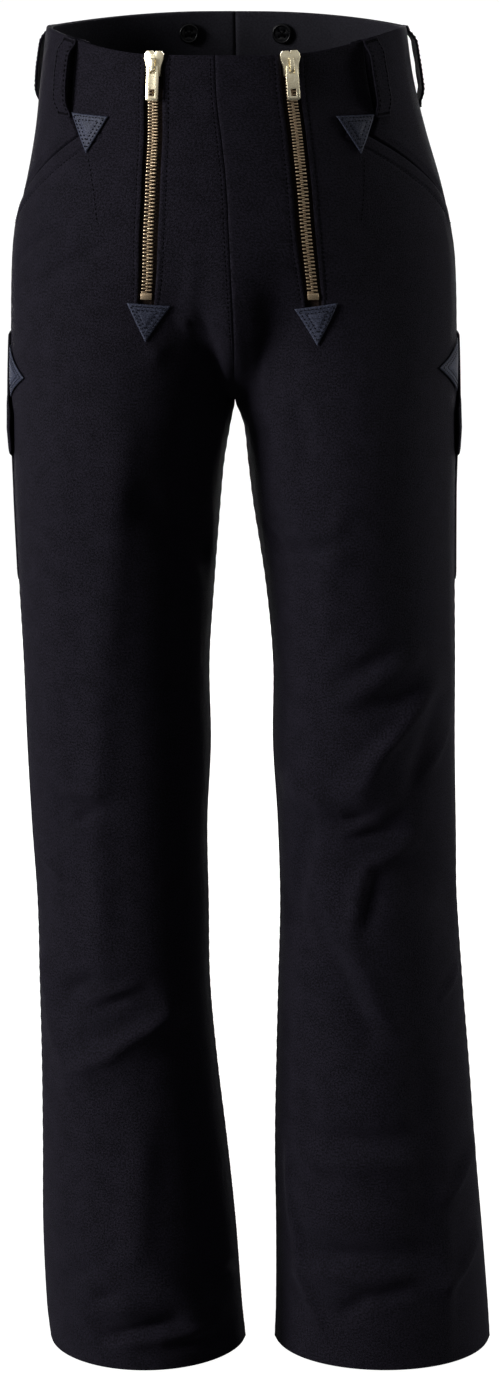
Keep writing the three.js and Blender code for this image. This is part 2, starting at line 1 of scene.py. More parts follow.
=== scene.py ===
"""Black carpenter trousers, filled out as if worn: cloth, leather, zips, buttons and sewing over the fixed frame."""

import json
import logging
import math
from dataclasses import dataclass
from enum import Enum
from typing import Callable, ClassVar

import bmesh
import bpy
import numpy as np
from mathutils import Matrix, Vector


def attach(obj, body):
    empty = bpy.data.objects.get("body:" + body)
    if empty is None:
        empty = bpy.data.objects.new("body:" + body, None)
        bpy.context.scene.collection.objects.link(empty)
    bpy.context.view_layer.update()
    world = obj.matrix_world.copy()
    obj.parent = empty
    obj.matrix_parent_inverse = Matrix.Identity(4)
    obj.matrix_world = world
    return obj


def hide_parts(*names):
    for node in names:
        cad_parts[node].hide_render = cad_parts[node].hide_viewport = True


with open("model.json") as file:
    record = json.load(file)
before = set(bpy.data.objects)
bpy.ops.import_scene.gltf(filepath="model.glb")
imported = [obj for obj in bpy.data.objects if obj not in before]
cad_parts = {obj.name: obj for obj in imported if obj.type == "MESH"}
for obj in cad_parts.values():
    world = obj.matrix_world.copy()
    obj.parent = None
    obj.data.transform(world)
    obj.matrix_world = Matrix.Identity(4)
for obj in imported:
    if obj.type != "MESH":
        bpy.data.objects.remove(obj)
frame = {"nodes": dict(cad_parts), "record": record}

log = logging.getLogger("trousers")

MM = 0.001
GARMENT = "garment"
Array = np.ndarray


class Side(Enum):
    """The wearer's side: the value is the sign of x."""

    RIGHT = -1
    LEFT = 1

    @property
    def word(self) -> str:
        """The side's name, as the frame's nodes use it."""
        return self.name.lower()


class Panel(Enum):
    """Front or back cloth."""

    FRONT = 1
    BACK = -1


# The cut, in millimetres, as in the part's source
SIDE_LENGTH = 1080.0
CROTCH_Z = -290.0
RISE_CURVE = 118.0
WAIST_TURN = math.radians(-3)
FRONT_DIP = -17.0
BACK_LIFT = 7.0
TOP_FADE = 100.0
CLOTH = 1.6
SEAM_LAP = 0.1
CROTCH_LAP = 0.6
LAY_GAP = 0.8
PANEL_LENGTHS = ("hip", "thigh", "shin")


@dataclass(frozen=True)
class Section:
    """One level of the filled-out trousers: outer and inner edges of both legs, and the two depths."""

    z: float
    right: float
    inner_right: float
    inner_left: float
    left: float
    front: float
    back: float


SECTIONS = (
    Section(0, -140, 0, 0, 141, 104, 104),
    Section(-40, -145, 1, 1, 147, 106, 107),
    Section(-80, -149.5, 4, 4, 157, 108, 112),
    Section(-120, -157, 6, 6, 169, 110, 120),
    Section(-150, -165, 6, 6, 176, 111, 127),
    Section(-180, -168.5, 6, 6, 180.5, 112, 132),
    Section(-240, -170, 6.5, 6.5, 182.5, 111, 136),
    Section(-290, -170, 7, 7, 182.5, 108, 132),
    Section(-312, -169.5, 3, 14.5, 182.5, 106, 127),
    Section(-342, -169, -2, 18, 182.5, 104, 121),
    Section(-375, -168.5, -5, 22, 182.5, 100, 115),
    Section(-440, -166, -10, 32, 183, 92, 104),
    Section(-505, -163, -14, 38, 184, 84, 95),
    Section(-572, -161, -13, 38, 184.5, 77, 87),
    Section(-638, -158, -16, 42, 186, 73, 82),
    Section(-706, -154, -15, 44, 188, 72, 79),
    Section(-773, -153, -14, 42.5, 193, 74, 78),
    Section(-842, -152, -8, 41, 199, 77, 79),
    Section(-911, -152, 0, 40, 204.5, 80, 80),
    Section(-981, -152.5, 7, 41, 211, 82, 81),
    Section(-1051, -150, 12, 41, 217, 84, 82),
    Section(-1080, -147, 15, 40, 219, 84, 82),
)


@dataclass(frozen=True)
class Fold:
    """A soft ridge, or a trough where its height is below 0, along a line from (q1, z1) to (q2, z2)."""

    q1: float
    z1: float
    q2: float
    z2: float
    width: float
    height: float


Folds = dict[int, tuple[Fold, ...]]


def folds_of(right: tuple, left: tuple) -> Folds:
    """The folds of the wearer's right and left, from plain rows."""
    return {side: tuple(Fold(*row) for row in rows) for side, rows in ((-1, right), (1, left))}


MAIN_FOLDS = folds_of(
    (
        (0.6, -365, 0.86, -408, 16, -4), (0.3, -612, 0.46, -614, 13, -3), (0.12, -752, 0.26, -842, 12, 3),
        (0.29, -765, 0.56, -767, 14, -4), (0.34, -828, 0.67, -787, 15, 4), (0.49, -987, 0.76, -1042, 15, 3.5),
        (0.37, -1049, 0.6, -1040, 12, -4), (-0.84, -330, -0.5, -352, 18, -5), (-0.3, -598, -0.74, -610, 14, -4),
        (-0.7, -640, -0.36, -650, 15, -3), (-0.66, -840, -0.3, -800, 15, 3.5), (-0.4, -1010, -0.72, -1026, 14, -3.5),
    ),
    (
        (0.75, -360, 0.58, -401, 14, 3), (0.26, -515, 0.53, -602, 15, 4), (0.82, -600, 0.61, -614, 12, 3),
        (0.61, -618, 0.42, -622, 12, -4.5), (0.5, -655, 0.18, -692, 24, -4), (0.82, -709, 0.51, -794, 15, -4),
        (0.1, -911, 0.26, -941, 12, 3), (0.13, -985, 0.3, -1013, 12, 3), (0.74, -879, 0.44, -892, 15, -3.5),
        (0.76, -980, 0.43, -988, 14, -4), (-0.84, -328, -0.48, -356, 18, -5), (-0.28, -606, -0.72, -596, 14, -4),
        (-0.66, -636, -0.34, -652, 15, -3), (-0.7, -780, -0.36, -836, 15, 3.5), (-0.42, -990, -0.74, -1002, 14, -3.5),
    ),
)

# Narrower creases that ride on the main folds, placed from the look of the cloth
FINE_FOLDS = folds_of(
    (
        (0.519, -299, 0.496, -406, 16, 3.5), (0.496, -406, 0.457, -513, 16, 3.5), (0.446, -521, 0.43, -629, 12, 3.6),
        (0.43, -629, 0.416, -741, 12, 3.6), (0.288, -599, 0.429, -600, 5.5, 3.5),
        (0.338, -625, 0.435, -612, 4.9, -3.6), (0.323, -630, 0.392, -631, 4.4, 2.6),
        (0.135, -658, 0.263, -669, 4.4, 2.8), (0.275, -766, 0.392, -751, 5.5, -3.6),
        (0.382, -769, 0.543, -759, 5.5, 4.1), (0.398, -778, 0.531, -766, 5.5, -3.6),
        (0.291, -831, 0.425, -818, 5.5, 4.1), (0.425, -818, 0.521, -801, 5.5, 4.1),
        (0.521, -801, 0.657, -785, 5.5, 4.1), (0.361, -804, 0.613, -778, 7.7, -2.4),
        (0.539, -877, 0.518, -927, 13, 3.5), (0.518, -927, 0.494, -981, 13, 3.5),
        (0.376, -1055, 0.495, -1046, 4.4, -4.7), (0.495, -1046, 0.605, -1040, 4.4, -4.7),
        (0.399, -1060, 0.558, -1053, 4.9, 3.6), (0.558, -1053, 0.728, -1051, 4.9, 3.6),
        (0.586, -1061, 0.752, -1061, 4.4, -3.6), (0.336, -1026, 0.427, -1014, 5.5, -3.5),
        (0.383, -1026, 0.498, -1032, 6.6, 3), (0.188, -1016, 0.325, -999, 6.6, -2.6),
        (0.106, -964, 0.29, -962, 5.5, 2.4), (0.786, -1012, 0.884, -1014, 5.5, 3),
        (0.819, -214, 0.824, -226, 5.5, 4.1), (0.653, -250, 0.72, -240, 7.7, 2.4),
        (0.89, -173, 0.865, -212, 6.6, 1.9), (0.87, -237, 0.94, -281, 11, -4.1), (0.179, -179, 0.51, -142, 3.9, -1.8),
        (0.385, -186, 0.64, -160, 3.9, -1.8), (0.84, -202, 0.87, -230, 5, 1.8), (0.9, -216, 0.91, -262, 7, -1.5),
        (-0.82, -316, -0.52, -336, 8, 1.6), (-0.3, -585, -0.66, -594, 7, 1.5), (-0.42, -622, -0.74, -624, 6, 1.5),
        (-0.2, -655, -0.5, -668, 7, -1.4), (-0.34, -770, -0.6, -812, 7, -1.5), (-0.5, -985, -0.8, -1008, 7, 1.5),
        (-0.14, -930, -0.3, -972, 6, 1.4),
    ),
    (
        (0.676, -289, 0.644, -333, 7.7, -3.2), (0.849, -391, 0.772, -404, 6.6, -3),
        (0.772, -404, 0.652, -403, 6.6, -3), (0.652, -403, 0.558, -390, 6.6, -3), (0.597, -398, 0.639, -467, 12, 2.6),
        (0.534, -358, 0.581, -390, 8.8, 2.6), (0.594, -508, 0.392, -478, 7.7, -3.5),
        (0.594, -523, 0.315, -488, 7.7, 3.5), (0.514, -532, 0.273, -510, 7.7, -3.6),
        (0.275, -516, 0.424, -557, 6.6, 4.7), (0.424, -557, 0.524, -594, 6.6, 4.7), (0.391, -549, 0.55, -583, 4.9, 3),
        (0.231, -531, 0.365, -612, 9.9, -3.5), (0.151, -555, 0.289, -588, 5.5, 3), (0.795, -596, 0.6, -614, 5.5, 3.5),
        (0.419, -613, 0.589, -634, 4.9, 3.5), (0.605, -623, 0.483, -619, 4.4, -4.1),
        (0.569, -636, 0.358, -629, 4.4, -4.1), (0.34, -642, 0.515, -660, 6.6, 4.7),
        (0.515, -660, 0.546, -687, 6.6, 4.7), (0.546, -687, 0.565, -712, 6.6, 4.7),
        (0.478, -669, 0.519, -711, 9.9, -3), (0.715, -617, 0.802, -699, 9.9, -3),
        (0.719, -705, 0.512, -791, 8.8, -3.6), (0.587, -716, 0.453, -790, 8.8, 3.6),
        (0.0944, -755, 0.227, -774, 4.4, 3), (0.758, -891, 0.429, -884, 8.8, -4.3),
        (0.782, -909, 0.401, -905, 8.8, 4.1), (0.757, -990, 0.448, -981, 8.3, -4.3),
        (0.795, -1006, 0.452, -999, 8.3, 4.1), (0.63, -1034, 0.556, -1020, 6.6, -5.1),
        (0.556, -1020, 0.413, -1012, 6.6, -5.1), (0.841, -907, 0.823, -957, 6.1, 3.5),
        (0.823, -957, 0.776, -1011, 6.1, 3.5), (0.776, -1011, 0.694, -1051, 6.1, 3.5),
        (0.343, -821, 0.352, -913, 12, -3), (0.352, -913, 0.368, -1014, 12, -3), (0.144, -912, 0.275, -941, 4.4, 3.6),
        (0.161, -988, 0.285, -1015, 4.4, 3.6), (0.275, -959, 0.302, -1069, 6.6, 2.2),
        (0.95, -202, 0.89, -262, 12, 1.8), (0.84, -250, 0.8, -276, 6, 1.1), (0.9, -232, 0.86, -268, 6, -0.5),
        (-0.8, -312, -0.5, -338, 8, 1.6), (-0.32, -592, -0.7, -584, 7, 1.5), (-0.4, -618, -0.72, -614, 6, 1.5),
        (-0.2, -668, -0.46, -680, 7, -1.4), (-0.6, -860, -0.34, -884, 8, -1.6), (-0.46, -970, -0.76, -984, 7, 1.5),
        (-0.16, -1000, -0.32, -1040, 6, 1.4),
    ),
)


def smoothstep(x: Array, low: float, high: float) -> Array:
    """A smooth rise from 0 at low to 1 at high."""
    t = np.clip((np.asarray(x, float) - low) / (high - low), 0, 1)
    return t * t * (3 - 2 * t)


class Curves:
    """Smooth curves through the named columns of a table whose rows go down in z."""

    def __init__(self, rows: tuple, columns: tuple[str, ...]) -> None:
        """Sorts the table upwards and works out its slopes."""
        rising = rows[::-1]
        self.levels = np.array([row.z for row in rising], float)
        self.values = {c: np.array([getattr(row, c) for row in rising], float) for c in columns}
        last = len(rising) - 1
        before = np.maximum(np.arange(last + 1) - 1, 0)
        after = np.minimum(np.arange(last + 1) + 1, last)
        gap = self.levels[after] - self.levels[before]
        self.slopes = {c: (v[after] - v[before]) / gap for c, v in self.values.items()}

    def at(self, name: str, z: Array) -> Array:
        """The value of one column at each level."""
        v, m = self.values[name], self.slopes[name]
        z = np.clip(z, self.levels[0], self.levels[-1])
        k = np.clip(np.searchsorted(self.levels, z, side="right") - 1, 0, len(v) - 2)
        step = self.levels[k + 1] - self.levels[k]
        t = (z - self.levels[k]) / step
        rise = t * t * (3 - 2 * t)
        bend = m[k] * t * (1 - t) ** 2 - m[k + 1] * t * t * (1 - t)
        return v[k] * (1 - rise) + v[k + 1] * rise + step * bend


class TrouserForm:
    """The filled-out surface in millimetres. q is 0 at a side seam, 1 at the front's inner seam, -1 at the back's."""

    COLUMNS = ("right", "inner_right", "inner_left", "left", "front", "back")

    def __init__(self) -> None:
        """Reads the section table."""
        self.curves = Curves(SECTIONS, self.COLUMNS)

    def section(self, side: int, z: Array) -> dict[str, Array]:
        """The outer, inner and centre x and the depths of one side at each level."""
        inner = {-1: self.curves.at("inner_right", z), 1: self.curves.at("inner_left", z)}
        centre = (inner[-1] + inner[1]) / 2
        return {
            "outer": self.curves.at("right" if side < 0 else "left", z),
            "inner": np.where(z < CROTCH_Z, inner[side], centre),
            "centre": centre,
            "front": self.curves.at("front", z),
            "back": self.curves.at("back", z),
        }

    @staticmethod
    def leg_share(q: Array, z: Array) -> Array:
        """How far a section has turned from the body's half ellipse, 0, to the leg's whole one, 1."""
        up = np.clip((z - CROTCH_Z) / RISE_CURVE, 0, 1)
        at_seam = 1 - np.sqrt(np.maximum(0, 1 - (1 - up) ** 2))
        near_seam = smoothstep(np.abs(q), 0.75, 1) ** 2
        away = 1 - smoothstep(z, -335, -150)
        return away + (at_seam - away) * near_seam

    def smooth(self, side: int, q: Array, z: Array) -> Array:
        """Points of the surface before folds, one row of three for each pair of q and z."""
        q, z = np.broadcast_arrays(np.asarray(q, float), np.asarray(z, float))
        s = self.section(side, z)

        def ellipse(middle: Array, half: Array, turned: Array) -> tuple[Array, Array]:
            """A point turned from the outer edge, positive to the front."""
            y = -np.sin(turned)
            return middle + half * np.cos(turned), y * np.where(y < 0, s["front"], s["back"])

        turn = WAIST_TURN * smoothstep(z, -250, 0)
        body = ellipse(s["centre"], s["outer"] - s["centre"], q * math.pi / 2 - side * turn)
        leg = ellipse((s["outer"] + s["inner"]) / 2, (s["outer"] - s["inner"]) / 2, q * math.pi)
        w = self.leg_share(q, z)
        dip = FRONT_DIP * smoothstep(q, 0.12, 0.8)
        lift = np.where(q > 0, dip, BACK_LIFT * smoothstep(-q, 0.1, 0.9))
        return np.stack(
            [
                body[0] + (leg[0] - body[0]) * w,
                body[1] + (leg[1] - body[1]) * w,
                z + lift * np.maximum(0, 1 + z / TOP_FADE),
            ],
            axis=-1,
        )

    def normal(self, side: int, q: Array, z: Array) -> Array:
        """Outward unit normals of the smooth surface."""
        across = self.smooth(side, q + 0.002, z) - self.smooth(side, q - 0.002, z)
        up = self.smooth(side, q, z + 0.6) - self.smooth(side, q, z - 0.6)
        normal = -side * np.cross(across, up)
        return normal / np.linalg.norm(normal, axis=-1, keepdims=True)

    def span(self, side: int, z: Array) -> Array:
        """Millimetres of cloth in one unit of q."""
        s = self.section(side, z)
        depth = (s["front"] + s["back"]) / 2
        body = math.pi / 4 * (np.abs(s["outer"] - s["centre"]) + depth)
        leg = math.pi / 2 * (np.abs(s["outer"] - s["inner"]) / 2 + depth)
        return body + (leg - body) * self.leg_share(np.zeros_like(z), z)

    def fold_height(
        self, side: int, q: Array, z: Array, folds: Folds, fade: tuple[float, float], ends: float = 1.0
    ) -> Array:
        """Height of folds at each point.

        Args:
            side: -1 or 1.
            q: places across.
            z: levels.
            folds: the folds to add up.
            fade: the range of q over which they die out before the inner seams.
            ends: share of the height that is left at both ends of a fold.

        Returns:
            Heights in millimetres.
        """
        span = self.span(side, z)
        height = np.zeros_like(z)
        for f in folds[side]:
            line = ((f.q2 - f.q1) * span, f.z2 - f.z1)
            off = ((q - f.q1) * span, z - f.z1)
            t = np.clip((off[0] * line[0] + off[1] * line[1]) / (line[0] ** 2 + line[1] ** 2), 0, 1)
            away = np.hypot(off[0] - t * line[0], off[1] - t * line[1])
            along = ends + (1 - ends) * np.sin(math.pi * t)
            height += f.height * along * np.exp(-((away / f.width) ** 2))
        return height * (1 - smoothstep(np.abs(q), *fade))

    def point(self, side: int, q: Array, z: Array, out: Array | float = 0.0, relief: Array | float = 0.0) -> Array:
        """Points of the folded cloth, moved out from it.

        Args:
            side: -1 or 1.
            q: places across.
            z: levels.
            out: distance off the cloth.
            relief: finer height of the cloth there.

        Returns:
            Points in millimetres, one row of three each.
        """
        q, z = np.broadcast_arrays(np.asarray(q, float), np.asarray(z, float))
        held = np.clip(q, -1, 1)
        height = self.fold_height(side, held, z, MAIN_FOLDS, (0.86, 0.97))
        fine = self.fold_height(side, held, z, FINE_FOLDS, (0.93, 0.99), 0.45)
        lift = np.asarray(height + fine + out + relief)
        return self.smooth(side, held, z) + self.normal(side, held, z) * lift[..., None]


FORM = TrouserForm()


@dataclass(frozen=True)
class ZipLevel:
    """q of both zips' middles at one level, because each one leans a little."""

    z: float
    right: float
    left: float


ZIP_END = -209.0
ZIP_LINE = (
    ZipLevel(0, 0.787, 0.741),
    ZipLevel(-60, 0.779, 0.75),
    ZipLevel(-112, 0.766, 0.768),
    ZipLevel(-157, 0.764, 0.775),
    ZipLevel(-182, 0.748, 0.761),
    ZipLevel(ZIP_END, 0.711, 0.729),
)
ZIP_SLIT = 6.5
ZIP_ROW = 10.5
MOUTH_TOP, MOUTH_START, MOUTH_END = -62.0, -77.0, -143.0
MOUTH_START_Q, MOUTH_PANEL_Q = 0.49, 0.43
MOUTH_SLANT = 0.55
MOUTH_ROW = 11.0


ZIP_CURVE = Curves(ZIP_LINE, ("right", "left"))


def zip_q(side: int, z: Array) -> Array:
    """q of a zip's middle at each level."""
    return ZIP_CURVE.at("right" if side < 0 else "left", z)


def front_edge_q(z: Array) -> Array:
    """q of the front panel's outer edge: under the belt loop above, along the pocket mouth, then the side seam."""
    upper = MOUTH_START_Q + (MOUTH_PANEL_Q - MOUTH_START_Q) * (z - MOUTH_START) / (MOUTH_TOP - MOUTH_START)
    mouth = MOUTH_START_Q * np.clip((z - MOUTH_END) / (MOUTH_START - MOUTH_END), 0, 1)
    return np.where(z >= MOUTH_TOP, MOUTH_PANEL_Q, np.where(z >= MOUTH_START, upper, mouth))


def seam_shift(side: int, panel: Panel) -> Array:
    """The slight lap by which a panel closes its seams with its neighbours."""
    return np.array([-side * SEAM_LAP, panel.value * SEAM_LAP, 0])


def dent(distance: Array, depth: float, width: float) -> Array:
    """A narrow groove centred on distance 0."""
    return -depth * np.exp(-((distance / width) ** 2))


def felled(distance: Array, run: Array, rows: tuple[float, ...], band: float = 11.0) -> Array:
    """The thicker cloth beside a felled seam, its rounded edge, the rows' grooves and their slight pucker.

    Args:
        distance: millimetres from the seam.
        run: millimetres along it.
        rows: distances of the stitch rows from the seam.
        band: width of the thicker cloth.

    Returns:
        Heights in millimetres.
    """
    height = 0.55 * (1 - smoothstep(distance, band - 2.2, band + 0.6)) + dent(distance, 0.8, 1.2)
    for row in rows:
        height = height + dent(distance - row, 0.5, 1.1)
    wave = np.sin(run * 0.56 + 1.9 * np.sin(run / 41)) * (0.6 + 0.4 * np.sin(run / 67 + 1))
    return height + 0.2 * wave * np.exp(-(((distance - band / 2) / 6.5) ** 2))


SEAM_ROWS = (2.2, 8.4)
SEAM_GROOVE = (0.9, 1.3)
TOP_GROOVE = (0.5, 1.3)


def drape(side: int, q: Array, z: Array) -> Array:
    """Broad, very shallow unevenness of hanging cloth, dying out at the seams and the waist."""
    u = q * FORM.span(side, z)
    wave = np.sin(u / 23 + z / 71 + side) + np.sin(u / 37 - z / 53 + 2 * side) + 0.7 * np.sin(u / 61 + z / 29)
    fade = (1 - smoothstep(np.abs(q), 0.8, 0.98)) * smoothstep(np.abs(q), 0.0, 0.1)
    return 0.28 * wave * fade * (0.35 + 0.65 * smoothstep(-z, 120, 420))


def panel_relief(side: int, panel: Panel, q: Array, z: Array) -> Array:
    """Fine height of a panel: seams, turned edges, stitch grooves and slight unevenness.

    Args:
        side: -1 or 1.
        panel: front or back.
        q: places across.
        z: levels.

    Returns:
        Heights in millimetres.
    """
    span = FORM.span(side, z)
    height = drape(side, q, z)
    inner = (1 - np.abs(q)) * span
    below = smoothstep(-z, 288, 300)
    if panel is Panel.BACK:
        rows = SEAM_ROWS if side < 0 else ()
        centre = felled(inner, z, rows) if rows else dent(inner, *SEAM_GROOVE)
        height = height + centre * (1 - below) + dent(inner, *SEAM_GROOVE) * below
        return height + dent(np.abs(q) * span, *SEAM_GROOVE) + dent(z - 1, *TOP_GROOVE)
    edge = (q - front_edge_q(z)) * span
    mouth = smoothstep(-z, 64, 70) * (1 - smoothstep(-z, 150, 158))
    side_seam = felled(edge, z, SEAM_ROWS) * smoothstep(-z, 150, 158)
    slanted = edge * MOUTH_SLANT
    turned = 0.5 * (1 - smoothstep(slanted, MOUTH_ROW - 1.5, MOUTH_ROW + 1.5)) + dent(slanted, 0.35, 0.9)
    height = height + side_seam + (turned + dent(slanted - MOUTH_ROW, *SEAM_GROOVE)) * mouth
    middle = np.abs(q - zip_q(side, z)) * span
    above = smoothstep(z, ZIP_END - 4, ZIP_END + 2)
    slit = dent(middle - ZIP_SLIT, 0.6, 0.9) + 0.35 * (1 - smoothstep(middle, 10, 13))
    wave = 0.16 * np.sin(z * 0.6 + 1.4 * np.sin(z / 17)) * np.exp(-(((middle - 8.5) / 3) ** 2))
    height = height + above * (slit + wave + dent(middle - ZIP_ROW, 0.5, 1.1))
    centre = dent(inner, 0.8, 1.1) + (dent(inner - 3.5, 0.3, 0.9) if side < 0 else 0)
    legs = felled(inner, z, SEAM_ROWS)
    return height + centre * (1 - below) + legs * below + dent(z - 1, *TOP_GROOVE)


def panel_point(side: int, panel: Panel, q: Array, z: Array, out: Array | float = 0.0) -> Array:
    """Points on a panel's finished face, in millimetres."""
    q, z = np.broadcast_arrays(np.asarray(q, float), np.asarray(z, float))
    points = FORM.point(side, q, z, out, panel_relief(side, panel, q, z)) + seam_shift(side, panel)
    at_crotch = smoothstep(-z, 215, 260) * (1 - smoothstep(-z, 288, 300))
    points[..., 0] -= side * CROTCH_LAP * smoothstep(np.abs(q), 0.97, 1) * at_crotch
    return points


# Finishes

Colour = tuple[float, float, float]


class NodeWork:
    """Adds nodes to one tree, with their settings, values and links in one call."""

    def __init__(self, tree: bpy.types.NodeTree) -> None:
        """Keeps the tree's nodes and links."""
        self.nodes, self.links = tree.nodes, tree.links

    def add(
        self, kind: str, *wires: tuple[object, str], values: dict[str, object] | None = None, **settings: object
    ) -> bpy.types.Node:
        """A node with its sockets set and linked.

        Args:
            kind: the node's type without its "ShaderNode".
            wires: pairs of a source and the input that it feeds.
            values: values of inputs.
            settings: properties of the node itself.

        Returns:
            The node.
        """
        node = self.nodes.new(f"ShaderNode{kind}")
        for name, value in settings.items():
            setattr(node, name, value)
        for name, value in (values or {}).items():
            node.inputs[name].default_value = value
        for source, name in wires:
            self.links.new(source, node.inputs[name])
        return node

    def math(self, operation: str, *terms: object) -> bpy.types.NodeSocket:
        """The result of a sum on sockets and numbers."""
        node = self.add("Math", operation=operation)
        for place, term in zip(node.inputs, terms):
            if isinstance(term, float):
                place.default_value = term
            else:
                self.links.new(term, place)
        return node.outputs[0]


class MaterialWork(NodeWork):
    """A material in the making, with its shader, its coordinates and the shared groups."""

    def __init__(self, name: str, coordinates: str, groups: dict[str, bpy.types.ShaderNodeTree]) -> None:
        """Starts the material on its "UV" or "Object" coordinates."""
        self.material = bpy.data.materials.new(name)
        self.material.use_nodes = True
        super().__init__(self.material.node_tree)
        self.groups = groups
        self.shader = self.nodes["Principled BSDF"]
        self.place = self.add("TexCoord").outputs[coordinates]

    def group(self, name: str, **values: float) -> bpy.types.NodeSocket:
        """The output of a shared group with its own values."""
        wire = (self.place, "Vector")
        return self.add("Group", wire, values=values, node_tree=self.groups[name]).outputs[0]

    def blend(self, mask: bpy.types.NodeSocket, dark: Colour, light: Colour) -> bpy.types.NodeSocket:
        """A colour between dark and light by a mask."""
        ends = {"A": (*dark, 1), "B": (*light, 1)}
        return self.add("Mix", (mask, "Factor"), values=ends, data_type="RGBA").outputs["Result"]

    def bump(
        self, height: bpy.types.NodeSocket, depth_mm: float, strength: float, *under: tuple[object, str]
    ) -> bpy.types.NodeSocket:
        """The normal of a bump of a depth in millimetres, on top of another normal where one is given."""
        values = {"Distance": depth_mm * MM, "Strength": strength}
        return self.add("Bump", (height, "Height"), *under, values=values).outputs["Normal"]

    def polish(self, mask: bpy.types.NodeSocket, roughness: float, spread: float) -> bpy.types.NodeSocket:
        """An uneven roughness by a mask."""
        ends = {"To Min": roughness, "To Max": roughness + spread}
        return self.add("MapRange", (mask, "Value"), values=ends).outputs["Result"]

    def feed(self, wires: dict[str, bpy.types.NodeSocket], values: dict[str, object]) -> None:
        """Links and sets the shader's inputs."""
        for name, source in wires.items():
            self.links.new(source, self.shader.inputs[name])
        for name, value in values.items():
            self.shader.inputs[name].default_value = value


@dataclass(frozen=True)
class ClothFinish:
    """Heavy napped cotton on the piece's own map: its colours, nap and weave."""

    name: str
    dark: Colour
    light: Colour
    roughness: float = 0.8
    specular: float = 0.07
    sheen: float = 0.025
    sheen_tint: Colour = (0.72, 0.7, 1.0)
    thread_mm: float = 0.62
    weave: float = 0.45
    nap: float = 0.8
    coordinates: ClassVar[str] = "UV"

    def dress(self, work: MaterialWork) -> None:
        """Uneven colour over two heights, the nap's and the weave's."""
        patches = work.group("mottle", Patch=60.0, Fine=700.0)
        low = work.bump(work.group("mottle", Patch=210.0, Fine=1500.0), 0.35, self.nap)
        weave = work.group("weave", Threads=1000 / self.thread_mm)
        work.feed(
            {
                "Base Color": work.blend(patches, self.dark, self.light),
                "Normal": work.bump(weave, 0.06, self.weave, (low, "Normal")),
            },
            {
                "Roughness": self.roughness,
                "Specular IOR Level": self.specular,
                "Sheen Weight": self.sheen,
                "Sheen Roughness": 0.42,
                "Sheen Tint": (*self.sheen_tint, 1),
            },
        )


@dataclass(frozen=True)
class LeatherFinish:
    """Split leather with a fine grain and paler rubbed places."""

    name: str
    dark: Colour
    light: Colour
    roughness: float = 0.58
    specular: float = 0.14
    grain_mm: float = 0.8
    coordinates: ClassVar[str] = "UV"

    def dress(self, work: MaterialWork) -> None:
        """Rubbed colour over the grain."""
        rub = work.group("mottle", Patch=85.0, Fine=900.0)
        grain = work.group("grain", Cells=1000 / self.grain_mm)
        work.feed(
            {"Base Color": work.blend(rub, self.dark, self.light), "Normal": work.bump(grain, 0.25, 0.55)},
            {"Roughness": self.roughness, "Specular IOR Level": self.specular},
        )


@dataclass(frozen=True)
class MetalFinish:
    """Brass with tarnish in patches and uneven polish."""

    name: str
    bright: Colour
    tarnish: Colour
    roughness: float
    spread: float
    coordinates: ClassVar[str] = "Object"

    def dress(self, work: MaterialWork) -> None:
        """One mask for colour, polish and height."""
        tarnish = work.group("mottle", Patch=240.0, Fine=2600.0)
        work.feed(
            {
                "Base Color": work.blend(tarnish, self.bright, self.tarnish),
                "Roughness": work.polish(tarnish, self.roughness, self.spread),
                "Normal": work.bump(tarnish, 0.05, 0.3),
            },
            {"Metallic": 1},
        )


@dataclass(frozen=True)
class PlasticFinish:
    """Moulded glossy plastic with faint scuffs."""

    name: str
    colour: Colour
    roughness: float = 0.24
    specular: float = 0.16
    coordinates: ClassVar[str] = "Object"

    def dress(self, work: MaterialWork) -> None:
        """Scuffs in colour and polish."""
        scuff = work.group("mottle", Patch=300.0, Fine=3000.0)
        worn = tuple(c * 2.2 for c in self.colour)
        work.feed(
            {"Base Color": work.blend(scuff, self.colour, worn), "Roughness": work.polish(scuff, self.roughness, 0.16)},
            {"Specular IOR Level": self.specular},
        )


@dataclass(frozen=True)
class ThreadFinish:
    """Sewing thread with painted shade of its twist: its colour darkened in random small patches."""

    name: str
    colour: Colour
    roughness: float = 0.8
    specular: float = 0.04
    coordinates: ClassVar[str] = "Object"

    def dress(self, work: MaterialWork) -> None:
        """Painted shade of the twist's grooves, as random darker patches."""
        # Painted shade: random patches up to 45 percent darker stand for the shaded grooves of the thread's twist.
        twist_shade_painted = work.group("mottle", Patch=900.0, Fine=4200.0)
        dark = tuple(c * 0.55 for c in self.colour)
        work.feed(
            {"Base Color": work.blend(twist_shade_painted, dark, self.colour)},
            {"Roughness": self.roughness, "Specular IOR Level": self.specular},
        )


Finish = ClothFinish | LeatherFinish | MetalFinish | PlasticFinish | ThreadFinish

BLACK_CLOTH = ClothFinish("black_cloth", (0.0021, 0.0017, 0.0033), (0.0122, 0.0106, 0.0172))
FACING_CLOTH = ClothFinish("facing_cloth", (0.012, 0.0114, 0.015), (0.02, 0.0195, 0.025), nap=0.3)
TAPE_CLOTH = ClothFinish(
    "tape_cloth", (0.007, 0.0045, 0.0034), (0.017, 0.0105, 0.0078), sheen=0.03, thread_mm=0.9, weave=0.5, nap=0.15
)
GREY_LEATHER = LeatherFinish("grey_leather", (0.0135, 0.0152, 0.0255), (0.05, 0.056, 0.087))
CHAIN_METAL = MetalFinish("chain_brass", (0.62, 0.49, 0.33), (0.24, 0.165, 0.1), 0.32, 0.3)
SLIDER_METAL = MetalFinish("slider_brass", (0.93, 0.86, 0.64), (0.7, 0.6, 0.4), 0.22, 0.18)
BLACK_BUTTON = PlasticFinish("button_plastic", (0.0012, 0.0012, 0.0016))
BLACK_THREAD = ThreadFinish("black_thread", (0.0009, 0.0008, 0.0013))
GREY_THREAD = ThreadFinish("leather_thread", (0.0018, 0.0019, 0.003))


